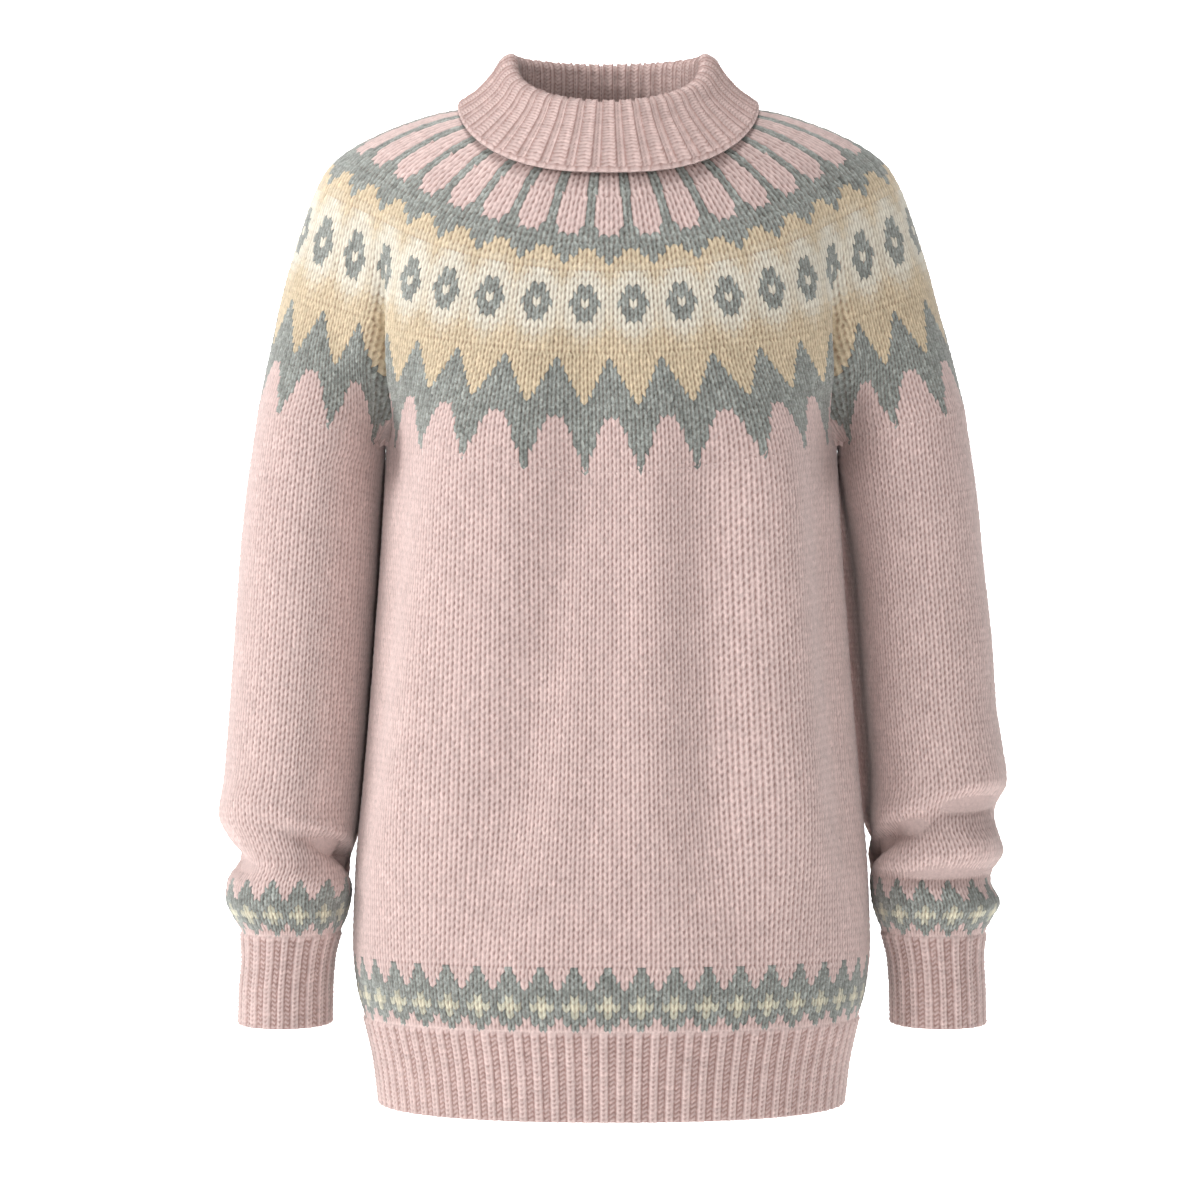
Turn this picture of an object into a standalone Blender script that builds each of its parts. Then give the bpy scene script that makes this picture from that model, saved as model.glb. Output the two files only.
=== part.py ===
"""Nordic yoke sweater, filled out as if worn, with no wearer in it.

Frame: metres, +Z up, the front faces -Y, the wearer's left is +X. The origin is the middle of the
neck seam, where the wearer's neck and shoulders hold the garment.

Every piece is a cloth wall. Its outer face is a surface(v, u): v runs down the piece, u runs once
round the body or sleeve, and the wall is laid inwards from it. Ribs are raised in the outer face
of the collar, the cuffs and the hem band, over a plain inside.
"""

import bmesh
import bpy
import numpy as np

GARMENT = "nordic_yoke_sweater"

# Cloth.
WALL = 0.0025  # thickness of the plain knit
RIB_WALL = 0.0020  # thickness of the ribbing in its furrows
RIB_RISE = 0.0017  # how far a rib stands above its furrow
SEAM = 0.0003  # gap between two pieces at a seam

# Heights above the neck seam.
CHEST_SEAM = -0.2440  # yoke seam at the middle of the front
BACK_SEAM = -0.2320  # yoke seam at the middle of the back
UNDERARM = -0.2205  # yoke seam where body and sleeve meet
ARM_SEAM = -0.1960  # yoke seam on the outside of the arm
HEM_TOP = -0.6200
HEM_END = -0.6800
CUFF_TOP = -0.5620
CUFF_END = -0.6250

# The yoke seam counted in stitches, from the middle of the front towards the wearer's left.
YOKE_ROWS = 45
RING_STITCHES = 252
BODY_SHARE = 36  # stitches from mid front to the underarm
SIDE_SHARE = 63  # stitches from mid front to the outside of the arm
STITCHES_A_COLUMN = 3
UNDERARM_QUARTER = 0.90  # where the underarm lies on the quarter ring from mid front to the side

BODY_GIRTH = 0.90  # round the body, for the widths of its folds and side seams

# Ribs, each a furrow and two crest edges.
HEM_RIBS = 86
CUFF_RIBS = 22
COLLAR_RIBS = 40
RIB_EDGES = (0.0, 0.32, 0.68)
RIB_HEIGHTS = (0.0, 1.0, 1.0)


def table(columns, *rows):
    """A table with named columns, its rows in rising order of the first."""
    return dict(zip(columns.split(), np.array(rows, float).T))


TORSO = table(
    "z half_width side_y front_y back_y roundness",
    (-0.680, 0.1618, 0.004, -0.0960, 0.1000, 2.3),
    (-0.650, 0.1655, 0.004, -0.0975, 0.1020, 2.3),
    (-0.620, 0.1725, 0.004, -0.0985, 0.1035, 2.3),
    (-0.600, 0.1780, 0.004, -0.0990, 0.1045, 2.3),
    (-0.570, 0.1810, 0.004, -0.0995, 0.1055, 2.3),
    (-0.520, 0.1795, 0.005, -0.1010, 0.1060, 2.3),
    (-0.456, 0.1738, 0.005, -0.1045, 0.1050, 2.3),
    (-0.390, 0.1683, 0.006, -0.1080, 0.1035, 2.3),
    (-0.330, 0.1640, 0.007, -0.1115, 0.1030, 2.3),
    (-0.290, 0.1613, 0.008, -0.1145, 0.1040, 2.3),
    (-0.244, 0.1590, 0.008, -0.1175, 0.1060, 2.3),
    (-0.200, 0.1580, 0.008, -0.1185, 0.1075, 2.3),
)

SLEEVE_COLUMNS = "z inner_x outer_x middle_y half_depth roundness"
UPPER_SLEEVE = (
    (-0.300, 0.1632, 0.2605, 0.011, 0.0630, 2.3),
    (-0.260, 0.1610, 0.2565, 0.009, 0.0625, 2.3),
    (-0.220, 0.1587, 0.2508, 0.008, 0.0620, 2.3),
    (-0.190, 0.1587, 0.2465, 0.008, 0.0620, 2.3),
)
RIGHT_SLEEVE = table(
    SLEEVE_COLUMNS,
    (-0.625, 0.1965, 0.2595, -0.002, 0.0390, 2.1),
    (-0.600, 0.1960, 0.2588, -0.002, 0.0390, 2.1),
    (-0.580, 0.1945, 0.2572, -0.001, 0.0395, 2.1),
    (-0.562, 0.1900, 0.2585, 0.001, 0.0420, 2.1),
    (-0.551, 0.1852, 0.2645, 0.002, 0.0470, 2.2),
    (-0.538, 0.1824, 0.2700, 0.003, 0.0520, 2.2),
    (-0.526, 0.1813, 0.2690, 0.004, 0.0530, 2.2),
    (-0.511, 0.1800, 0.2610, 0.006, 0.0530, 2.2),
    (-0.497, 0.1788, 0.2680, 0.008, 0.0570, 2.2),
    (-0.480, 0.1772, 0.2742, 0.009, 0.0600, 2.3),
    (-0.455, 0.1750, 0.2718, 0.010, 0.0605, 2.3),
    (-0.405, 0.1707, 0.2680, 0.012, 0.0615, 2.3),
    (-0.360, 0.1673, 0.2648, 0.012, 0.0625, 2.3),
    *UPPER_SLEEVE,
)
LEFT_SLEEVE = table(
    SLEEVE_COLUMNS,
    (-0.625, 0.1960, 0.2605, -0.002, 0.0390, 2.1),
    (-0.600, 0.1955, 0.2598, -0.002, 0.0390, 2.1),
    (-0.580, 0.1940, 0.2590, -0.001, 0.0395, 2.1),
    (-0.562, 0.1895, 0.2612, 0.001, 0.0420, 2.1),
    (-0.551, 0.1852, 0.2665, 0.002, 0.0470, 2.2),
    (-0.541, 0.1826, 0.2718, 0.003, 0.0520, 2.2),
    (-0.526, 0.1813, 0.2655, 0.004, 0.0530, 2.2),
    (-0.505, 0.1796, 0.2745, 0.007, 0.0565, 2.2),
    (-0.484, 0.1775, 0.2680, 0.009, 0.0575, 2.2),
    (-0.458, 0.1752, 0.2772, 0.010, 0.0610, 2.3),
    (-0.430, 0.1728, 0.2740, 0.011, 0.0610, 2.3),
    (-0.405, 0.1707, 0.2702, 0.012, 0.0615, 2.3),
    (-0.360, 0.1673, 0.2672, 0.012, 0.0625, 2.3),
    *UPPER_SLEEVE,
)

# The yoke's smooth rings, by knitted row up from the seam. droop is the power with which a ring
# falls from its side to its front and back.
YOKE = table(
    "row middle_x half_width side_y front_y back_y side_z front_z back_z roundness droop",
    (0.0, 0.000, 0.2475, 0.008, -0.1175, 0.1065, -0.1960, -0.2440, -0.2320, 2.2, 1.4),
    (9.0, -0.001, 0.2385, 0.013, -0.1195, 0.1110, -0.1500, -0.2004, -0.1880, 2.2, 1.4),
    (14.5, -0.002, 0.2320, 0.017, -0.1185, 0.1150, -0.1180, -0.1735, -0.1570, 2.1, 1.4),
    (21.7, -0.002, 0.2190, 0.019, -0.1140, 0.1185, -0.0724, -0.1371, -0.1130, 2.1, 1.4),
    (29.0, -0.002, 0.2000, 0.016, -0.1050, 0.1150, -0.0288, -0.1008, -0.0650, 2.0, 1.8),
    (32.5, -0.002, 0.1768, 0.013, -0.0995, 0.1090, -0.0101, -0.0834, -0.0420, 2.0, 1.8),
    (40.0, -0.002, 0.1145, 0.006, -0.0875, 0.0870, 0.0125, -0.0440, 0.0000, 2.0, 1.6),
    (45.0, -0.002, 0.0780, 0.002, -0.0700, 0.0700, 0.0170, -0.0300, 0.0120, 2.0, 1.5),
)

# The collar's section, from the neck seam up the standing layer, over the fold and down the fall.
COLLAR = table(
    "step half_width front_y back_y side_z front_z back_z roundness droop",
    (0.0, 0.0775, -0.0695, 0.0695, 0.0158, -0.0306, 0.0108, 2.0, 1.5),
    (1.0, 0.0710, -0.0632, 0.0645, 0.0205, -0.0250, 0.0160, 2.0, 1.4),
    (2.0, 0.0660, -0.0580, 0.0600, 0.0300, -0.0140, 0.0275, 2.0, 1.2),
    (3.0, 0.0640, -0.0552, 0.0578, 0.0405, -0.0020, 0.0410, 2.1, 0.95),
    (3.7, 0.0645, -0.0553, 0.0580, 0.0478, 0.0055, 0.0500, 2.1, 0.85),
    (4.3, 0.0678, -0.0582, 0.0606, 0.0515, 0.0095, 0.0542, 2.1, 0.85),
    (5.0, 0.0730, -0.0630, 0.0654, 0.0492, 0.0070, 0.0520, 2.1, 0.85),
    (6.0, 0.0805, -0.0712, 0.0730, 0.0388, -0.0062, 0.0393, 2.15, 0.95),
    (7.0, 0.0910, -0.0805, 0.0820, 0.0272, -0.0210, 0.0252, 2.3, 1.15),
    (8.0, 0.1052, -0.0930, 0.0935, 0.0168, -0.0428, 0.0060, 2.6, 1.4),
)
COLLAR_END = 8.0
COLLAR_MIDDLE_X = -0.0022
COLLAR_MIDDLE_Y = 0.002

# Soft troughs and ridges that fall from the yoke down the body: across is the share of the body's
# ring from mid front, and lean is how far one drifts on its way down.
DRAPES = table(
    "across top bottom half_width depth lean",
    (-0.180, -0.200, -0.500, 0.020, -0.0028, -0.020),
    (-0.112, -0.150, -0.600, 0.028, 0.0062, -0.050),
    (-0.007, -0.120, -0.620, 0.026, -0.0112, -0.080),
    (0.022, -0.150, -0.600, 0.026, -0.0062, -0.050),
    (0.068, -0.160, -0.600, 0.022, -0.0078, 0.000),
    (0.122, -0.160, -0.600, 0.027, 0.0115, 0.004),
    (0.175, -0.210, -0.580, 0.020, -0.0038, 0.006),
    (0.340, -0.200, -0.560, 0.024, -0.0036, -0.015),
    (0.425, -0.150, -0.600, 0.026, 0.0045, -0.010),
    (0.480, -0.130, -0.580, 0.024, -0.0070, 0.020),
    (0.545, -0.170, -0.600, 0.024, 0.0040, 0.010),
    (0.610, -0.170, -0.580, 0.024, -0.0045, 0.012),
    (0.665, -0.180, -0.580, 0.022, 0.0035, 0.015),
)
DRAPE_SIDES = (0.72, 0.90)  # quarters of the ring between which the drapes fade out

# Creases of the sleeves: turn is the angle from the inner side through the front, in turns, and
# rise is how much higher the crease lies one turn further on.
FOLD_COLUMNS = "turn z rise span half_height depth"
RIGHT_SLEEVE_FOLDS = table(
    FOLD_COLUMNS,
    (0.08, -0.507, 0.120, 0.16, 0.0070, -0.0100),
    (0.22, -0.520, 0.060, 0.16, 0.0100, 0.0045),
    (0.30, -0.470, -0.050, 0.14, 0.0140, 0.0030),
    (0.52, -0.512, 0.020, 0.12, 0.0080, -0.0030),
    (0.70, -0.492, -0.080, 0.14, 0.0080, -0.0060),
    (0.90, -0.515, 0.100, 0.14, 0.0080, -0.0060),
)
LEFT_SLEEVE_FOLDS = table(
    FOLD_COLUMNS,
    (0.12, -0.512, 0.180, 0.18, 0.0070, -0.0095),
    (0.30, -0.476, 0.120, 0.16, 0.0070, -0.0070),
    (0.24, -0.530, 0.060, 0.14, 0.0090, 0.0040),
    (0.36, -0.498, 0.080, 0.12, 0.0080, 0.0030),
    (0.68, -0.500, -0.090, 0.14, 0.0080, -0.0060),
    (0.88, -0.505, 0.110, 0.14, 0.0080, -0.0060),
)

# Beside the body a sleeve's section is squarer behind. In front the right one is rounder, and the
# left one stands off from the body.
BEHIND = 6.0
RIGHT_SLEEVE.update(before=-1.1, stand_off=0.0)
LEFT_SLEEVE.update(before=-0.1, stand_off=0.0072)
STAND_OFF_TURN = (-0.40, -0.05)  # sines of the angle between which it opens
STAND_OFF_ABOVE = (-0.52, -0.44)
STAND_OFF_BELOW = (-0.232, -0.32)
SQUARER_ABOVE = (-0.56, -0.50)
SQUARER_BELOW = (-0.2215, -0.240)

# The pit of the arm: cloth near it is drawn in towards the sweater's middle depth.
PIT_X = (0.1570, 0.0160)  # where it lies and how far it spreads
PIT_Z = (-0.2235, 0.0280)
PIT_DEPTH = (0.0295, 0.0100)  # in front and behind
PIT_Y = (0.0080, 0.0550)  # its middle and how far from there it is fully drawn in

# The hollow in front of and behind the shoulder joint, where the cloth falls in beside the arm.
HOLLOW_TURN = 6.2 / 36  # share of the ring from mid front
HOLLOW_SPREAD = 1.6 / 36
HOLLOW = table(
    "row front back",
    (0.0, 0.000, 0.000),
    (8.0, 0.010, 0.006),
    (20.0, 0.021, 0.011),
    (27.0, 0.012, 0.007),
    (34.0, 0.000, 0.000),
)
# The narrow crease that runs up from the underarm beside the body.
TUCK_STITCH = 36.0  # from mid front or mid back, at the seam
TUCK_LEAN = 0.16  # stitches further out with every row
TUCK_SPREAD = 1.7  # stitches
TUCK = table(
    "row front back",
    (0.0, 0.000, 0.000),
    (2.0, 0.007, 0.004),
    (6.0, 0.017, 0.010),
    (12.0, 0.020, 0.011),
    (17.0, 0.013, 0.006),
    (25.0, 0.000, 0.000),
)
CREASE_ROWS = 27  # the underarm crease has faded out this many rows above the seam
CREASE_SOFT_ROWS = 14
CREASE_SPREAD = 1.15 / 36

# How finely the rings are walked, and the steps with which normals are taken.
RING_SAMPLES = 1008
QUARTER_SAMPLES = 400
QUARTER_ENDS = (0.0, 0.25, 0.5, 0.75, 1.0)
TURN_STEP = 0.0015
HEIGHT_STEP = 0.002
ROW_STEP = 0.5
COLLAR_STEP = 0.05

# Where each piece has its sections, in yoke rows, shares of the height, heights and collar steps.
YOKE_SECTIONS = (YOKE_ROWS, 40, 36, 32.5, 29, 25, 20.5, 16, 11, 6, 2.5, 0)
BODY_SECTIONS = (0.0, 0.10, 0.23, 0.36, 0.50, 0.64, 0.78, 0.90, 1.0)
SLEEVE_SECTIONS = (
    *(-0.260, -0.320, -0.380, -0.425, -0.456, -0.478),
    *(-0.494, -0.509, -0.524, -0.539, -0.551),
)
HEM_MIDDLE = -0.644
CUFF_SECTIONS = (-0.580, -0.600)
COLLAR_SECTIONS = (0.0, 1.0, 2.2, 3.3, 4.0, 4.6, 5.3, 6.2, 7.1, COLLAR_END)
LEVEL_ROWS = 10.0  # above the seam, the yoke's wall turns from level to square this far up
SHARP_ANGLE = np.radians(50)

# Colours and finish of the yarns.
YARN_PINK = (0.78, 0.58, 0.56, 1.0)
YARN_SAND = (0.83, 0.70, 0.52, 1.0)
YARN_ROUGHNESS = 0.9


def read(tab, column, at):
    """A column of a table at any key, smooth and without overshoot between the rows."""
    key, value = next(iter(tab.values())), tab[column]
    at = np.clip(at, key[0], key[-1])
    step = np.diff(key)
    slope = np.diff(value) / step
    before, after = slope[:-1], slope[1:]
    agree = before * after > 0
    mean = 2 * before * after / np.where(agree, before + after, 1.0)
    tangent = np.concatenate([slope[:1], np.where(agree, mean, 0.0), slope[-1:]])
    row = np.clip(np.searchsorted(key, at) - 1, 0, len(step) - 1)
    t = (at - key[row]) / step[row]
    start = (2 * t**3 - 3 * t**2 + 1) * value[row]
    leaving = (t**3 - 2 * t**2 + t) * step[row] * tangent[row]
    end = (3 * t**2 - 2 * t**3) * value[row + 1]
    arriving = (t**3 - t**2) * step[row] * tangent[row + 1]
    return start + leaving + end + arriving


def ease(value, start, end):
    """0 before start, 1 after end, and smooth between."""
    t = np.clip((value - start) / (end - start), 0.0, 1.0)
    return t * t * (3 - 2 * t)


def bell(distance):
    return np.exp(-(distance**2))


def rounded(angle, roundness):
    """Sine and cosine of a superellipse."""
    sine, cosine = np.sin(angle), np.cos(angle)
    power = 2 / roundness
    return np.sign(sine) * np.abs(sine) ** power, np.sign(cosine) * np.abs(cosine) ** power


def torso_point(z, angle):
    """The body's outer face: angle 0 is mid front, a quarter turn is the wearer's left side."""
    across, ahead = rounded(angle, read(TORSO, "roundness", z))
    side_y = read(TORSO, "side_y", z)
    front = read(TORSO, "front_y", z) - side_y
    back = read(TORSO, "back_y", z) - side_y
    x = read(TORSO, "half_width", z) * across
    y = side_y + np.where(ahead > 0, front * ahead, -back * ahead)
    return np.stack([x, y, z + 0 * angle], -1)


def even_angles(point):
    """A function from the share of a ring to its angle, even along each quarter of point(angle)."""
    angles = np.linspace(0, 2 * np.pi, 4 * QUARTER_SAMPLES + 1)
    steps = np.linalg.norm(np.diff(point(angles), axis=0), axis=1)
    walked = np.concatenate([[0.0], np.cumsum(steps)])
    quarters = walked[::QUARTER_SAMPLES]

    def angle_at(share):
        return np.interp(np.interp(share % 1.0, QUARTER_ENDS, quarters), walked, angles)

    return angle_at


torso_angle = even_angles(lambda angle: torso_point(CHEST_SEAM + 0 * angle, angle))


def torso_seam(share):
    """Height of the yoke seam on the body."""
    quarter = np.abs((share + 0.5) % 1.0 - 0.5) * 4  # 0 mid front, 1 side, 2 mid back
    middle = np.where(quarter < 1, CHEST_SEAM, BACK_SEAM)
    away = np.minimum(np.minimum(quarter, 2 - quarter) / UNDERARM_QUARTER, 1.0)
    return UNDERARM + (middle - UNDERARM) * np.cos(away * np.pi / 2) ** 2


def drape(z, share):
    """How far the cloth is pushed out, by height and the body's share."""
    push = 0 * share
    for across, top, bottom, half_width, depth, lean in zip(*DRAPES.values()):
        along = (top - z) / (top - bottom)
        aside = ((share - across + 0.5) % 1.0 - 0.5) * BODY_GIRTH - lean * along
        fade = ease(along, 0.0, 0.25) * (1 - ease(along, 0.65, 1.0))
        push = push + depth * bell(aside / half_width) * fade
    quarter = np.abs((share + 0.25) % 0.5 - 0.25) * 4
    return push * (1 - ease(quarter, *DRAPE_SIDES))


def away(point):
    """Level unit vectors that point away from the sweater's middle line."""
    flat = point * (1, 1, 0)
    return flat / np.linalg.norm(flat, axis=-1, keepdims=True)


def pitted(point):
    """Points drawn in at the pit of the arm."""
    aside = (np.abs(point[..., 0]) - PIT_X[0]) / PIT_X[1]
    above = (point[..., 2] - PIT_Z[0]) / PIT_Z[1]
    ahead = (PIT_Y[0] - point[..., 1]) / PIT_Y[1]
    depth = np.where(ahead > 0, *PIT_DEPTH) * bell(aside) * bell(above) * np.clip(ahead, -1, 1)
    return point + depth[..., None] * (0, 1, 0)


def body(z, share):
    """The body with its drapes, which fade out above the hem band."""
    point = torso_point(z, torso_angle(share))
    return pitted(point + away(point) * drape(z, share)[..., None])


def sleeve_point(sleeve, z, angle):
    """A sleeve's outer face at +X: angle 0 is the side towards the body, a quarter turn the front."""
    inside = np.clip(np.cos(angle), 0, 1)
    squarer = inside * np.where(np.sin(angle) < 0, -BEHIND, sleeve["before"]) * np.sin(angle)
    squarer = squarer * ease(z, *SQUARER_BELOW) * ease(z, *SQUARER_ABOVE)
    ahead, across = rounded(angle, read(sleeve, "roundness", z) + squarer)
    inner, outer = read(sleeve, "inner_x", z), read(sleeve, "outer_x", z)
    beside = ease(z, *STAND_OFF_BELOW) * ease(z, *STAND_OFF_ABOVE)
    stand_off = sleeve["stand_off"] * beside * inside * ease(np.sin(angle), *STAND_OFF_TURN)
    x = (inner + outer) / 2 - (outer - inner) / 2 * across + stand_off
    y = read(sleeve, "middle_y", z) - read(sleeve, "half_depth", z) * ahead
    return np.stack([x, y, z + 0 * angle], -1)


def sleeve_level(angle):
    return sleeve_point(RIGHT_SLEEVE, UNDERARM + 0 * angle, angle)


sleeve_angle = even_angles(sleeve_level)
underarm_point = torso_point(
    np.array([UNDERARM]), torso_angle(np.array([UNDERARM_QUARTER / 4]))
)[0]
quarter_turn = np.linspace(0, np.pi / 2, QUARTER_SAMPLES)
UNDERARM_ANGLE = np.interp(
    -underarm_point[1], -sleeve_level(quarter_turn)[:, 1], quarter_turn
)
UNDERARM_SHARE = np.interp(
    UNDERARM_ANGLE, sleeve_angle(np.linspace(0, 0.25, 200)), np.linspace(0, 0.25, 200)
)


def sleeve_seam(share):
    """Height of the yoke seam on a sleeve, where share 0 is the side towards the body."""
    from_inner = np.abs((share + 0.5) % 1.0 - 0.5)
    away = np.clip((from_inner - UNDERARM_SHARE) / (0.5 - UNDERARM_SHARE), 0, 1)
    return UNDERARM + (ARM_SEAM - UNDERARM) * np.sin(away * np.pi / 2) ** 1.3


def sleeve(side, folds, z, share):
    """A sleeve at +X with its creases."""
    angle = sleeve_angle(share)
    point = sleeve_point(side, z, angle)
    middle = (read(side, "inner_x", z) + read(side, "outer_x", z)) / 2
    centre = np.stack([middle, read(side, "middle_y", z), z], -1)
    out = point - centre
    out = out / np.linalg.norm(out, axis=-1, keepdims=True)
    push = 0 * share
    for turn, fold_z, rise, span, half_height, depth in zip(*folds.values()):
        aside = (share - turn + 0.5) % 1.0 - 0.5
        above = z - fold_z - rise * aside
        push = push + depth * bell(above / half_height) * bell(aside / span)
    towards_body = ease(np.abs((share + 0.5) % 1.0 - 0.5), 0.02, 0.10)
    push = np.where(push > 0, push * towards_body, push)
    return pitted(point + out * push[..., None])


def smooth_ring(values, share):
    """Ring of a table row: values by column name, at shares of the ring from mid front."""

    def point(angle):
        across, ahead = rounded(angle, values["roundness"])
        side_y = values["side_y"]
        front, back = values["front_y"] - side_y, values["back_y"] - side_y
        y = side_y + np.where(ahead > 0, front * ahead, -back * ahead)
        fall = np.abs(ahead) ** values["droop"]
        drop = np.where(ahead > 0, values["front_z"], values["back_z"]) - values["side_z"]
        x = values["middle_x"] + values["half_width"] * across
        return np.stack([x, y, values["side_z"] + drop * fall], -1)

    return point(even_angles(point)(share))


def yoke_seam(share):
    """The yoke's lower edge: round the front, one arm, the back and the other arm."""
    stitch = (share % 1.0) * RING_STITCHES
    half = RING_STITCHES / 2
    left = stitch <= half
    stitch = np.where(left, stitch, 2 * half - stitch)  # the right side mirrors the left
    back = stitch > SIDE_SHARE
    ahead = np.where(back, half - stitch, stitch)  # counted from mid front or mid back
    on_body = ahead <= BODY_SHARE

    quarter = ahead / BODY_SHARE * UNDERARM_QUARTER
    body_share = np.where(back, 2 - quarter, quarter) / 4
    body_share = np.where(on_body, body_share, 0.0)
    torso = torso_point(torso_seam(body_share), torso_angle(body_share))

    past = (ahead - BODY_SHARE) / (SIDE_SHARE - BODY_SHARE)
    arm_share = UNDERARM_SHARE + past * (0.5 - UNDERARM_SHARE)
    arm_share = np.where(back, 1 - arm_share, arm_share)
    arm = sleeve_point(RIGHT_SLEEVE, sleeve_seam(arm_share), sleeve_angle(arm_share))

    corner = np.abs(ahead - BODY_SHARE) < 1e-6
    point = np.where(on_body[..., None], torso, arm)
    point = np.where(corner[..., None], (torso + arm) / 2, point)
    return point * np.stack([np.where(left, 1, -1), 0 * stitch + 1, 0 * stitch + 1], -1)


def yoke_row(row):
    return {name: float(read(YOKE, name, row)) for name in YOKE if name != "row"}


ring_shares = np.arange(RING_SAMPLES) / RING_SAMPLES
crease_parts = np.fft.rfft(
    yoke_seam(ring_shares) - smooth_ring(yoke_row(0.0), ring_shares), axis=0
)


def yoke(row, share):
    """The yoke at a knitted row above its seam: smooth rings that fold in beside each arm."""
    values = yoke_row(row)
    point = smooth_ring(values, share)
    strength = (1 - ease(row, 0.0, CREASE_ROWS)) ** 1.4
    spread = CREASE_SPREAD * min(1.0, row / CREASE_SOFT_ROWS)
    waves = np.arange(len(crease_parts))[:, None]
    softened = np.fft.irfft(
        crease_parts * np.exp(-2 * (np.pi * waves * spread) ** 2), RING_SAMPLES, axis=0
    )
    grid = np.append(ring_shares, 1.0)
    for axis in range(3):
        wave = np.append(softened[:, axis], softened[0, axis])
        point[:, axis] += strength * np.interp(share % 1.0, grid, wave)
    for face, middle, back in (("front", HOLLOW_TURN, 1), ("back", 0.5 - HOLLOW_TURN, -1)):
        for left in (1, -1):
            aside = (share - left * middle + 0.5) % 1.0 - 0.5
            push = read(HOLLOW, face, row) * bell(aside / HOLLOW_SPREAD)
            point = point + push[:, None] * np.array([-left, back, 0.0]) / np.sqrt(2)
            stitch = left * (TUCK_STITCH + TUCK_LEAN * row)
            middle_stitch = stitch if back > 0 else RING_STITCHES / 2 - stitch
            aside = ((share - middle_stitch / RING_STITCHES + 0.5) % 1.0 - 0.5) * RING_STITCHES
            push = read(TUCK, face, row) * bell(aside / TUCK_SPREAD)
            point = point + push[:, None] * np.array([-left, back, 0.0]) / np.sqrt(2)
    ahead = (share + 0.25) % 0.5 - 0.25
    over_body = np.clip(ahead * RING_STITCHES / BODY_SHARE, -1, 1) * UNDERARM_QUARTER / 4
    drapes = drape(point[:, 2], share - ahead + over_body)
    return pitted(point + away(point) * drapes[:, None])


def collar_ring(step, share):
    values = {name: float(read(COLLAR, name, step)) for name in COLLAR if name != "step"}
    values.update(middle_x=COLLAR_MIDDLE_X, side_y=COLLAR_MIDDLE_Y)
    return smooth_ring(values, share)


def collar(step, share):
    """The collar's middle surface, which starts a seam's gap beyond the yoke's edge."""
    edge, edge_normal, onwards = neck_edge(share)
    start = edge - edge_normal * WALL / 2 + onwards * SEAM
    shift = (start - collar_ring(0.0, share)) * (1 - ease(step, 0.0, 2.0))
    return collar_ring(step, share) + shift


def collar_normals(step, share):
    """Normals of the collar's hidden face, which turn into the yoke's at the neck seam."""
    inside = min(max(step, COLLAR_STEP), COLLAR_END - COLLAR_STEP)
    own = outward(collar, inside, share, COLLAR_STEP)
    near = 1 - ease(step, 0.0, 1.0)
    normal = own * (1 - near) + neck_edge(share)[1] * near
    return normal / np.linalg.norm(normal, axis=1, keepdims=True)


def neck_edge(share):
    """The yoke's edge at the neck, its normal there and the way its rows run on."""
    edge = yoke(YOKE_ROWS, share)
    before = yoke(YOKE_ROWS - 1.0, share)
    onwards = edge - before
    onwards /= np.linalg.norm(onwards, axis=1, keepdims=True)
    return edge, outward(yoke, YOKE_ROWS - ROW_STEP, share, ROW_STEP), onwards


def outward(surface, v, share, step):
    """Unit normals of surface(v, share), pointing out of the garment."""
    round_way = surface(v, share + TURN_STEP) - surface(v, share - TURN_STEP)
    up_way = surface(v + step, share) - surface(v - step, share)
    normal = np.cross(round_way, up_way)
    return normal / np.linalg.norm(normal, axis=-1, keepdims=True)


def level(normal):
    """Normals turned into the horizontal, which both pieces use at a seam."""
    flat = normal * (1, 1, 0)
    return flat / np.linalg.norm(flat, axis=-1, keepdims=True)


def level_normals(surface, z, share):
    """Level normals of surface(height, share) at heights z."""

    def lifted(lift, at):
        return surface(z + lift, at)

    return level(outward(lifted, 0.0, share, HEIGHT_STEP))


def lace(mesh, ring_a, ring_b, closed):
    """Faces between two rows of vertices, each a list of (share, vertex), from a's side to b's."""
    if closed:
        ring_a = ring_a + [(ring_a[0][0] + 1.0, ring_a[0][1])]
        ring_b = ring_b + [(ring_b[0][0] + 1.0, ring_b[0][1])]
    if len(ring_a) == len(ring_b):
        for (_, a), (_, b), (_, c), (_, d) in zip(ring_a, ring_a[1:], ring_b[1:], ring_b):
            mesh.faces.new((a, b, c, d))
        return
    i = j = 0
    while i < len(ring_a) - 1 or j < len(ring_b) - 1:
        step_a = j == len(ring_b) - 1 or (
            i < len(ring_a) - 1 and ring_a[i + 1][0] <= ring_b[j + 1][0] + 1e-9
        )
        if step_a:
            mesh.faces.new((ring_a[i][1], ring_a[i + 1][1], ring_b[j][1]))
            i += 1
        else:
            mesh.faces.new((ring_a[i][1], ring_b[j + 1][1], ring_b[j][1]))
            j += 1


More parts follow.
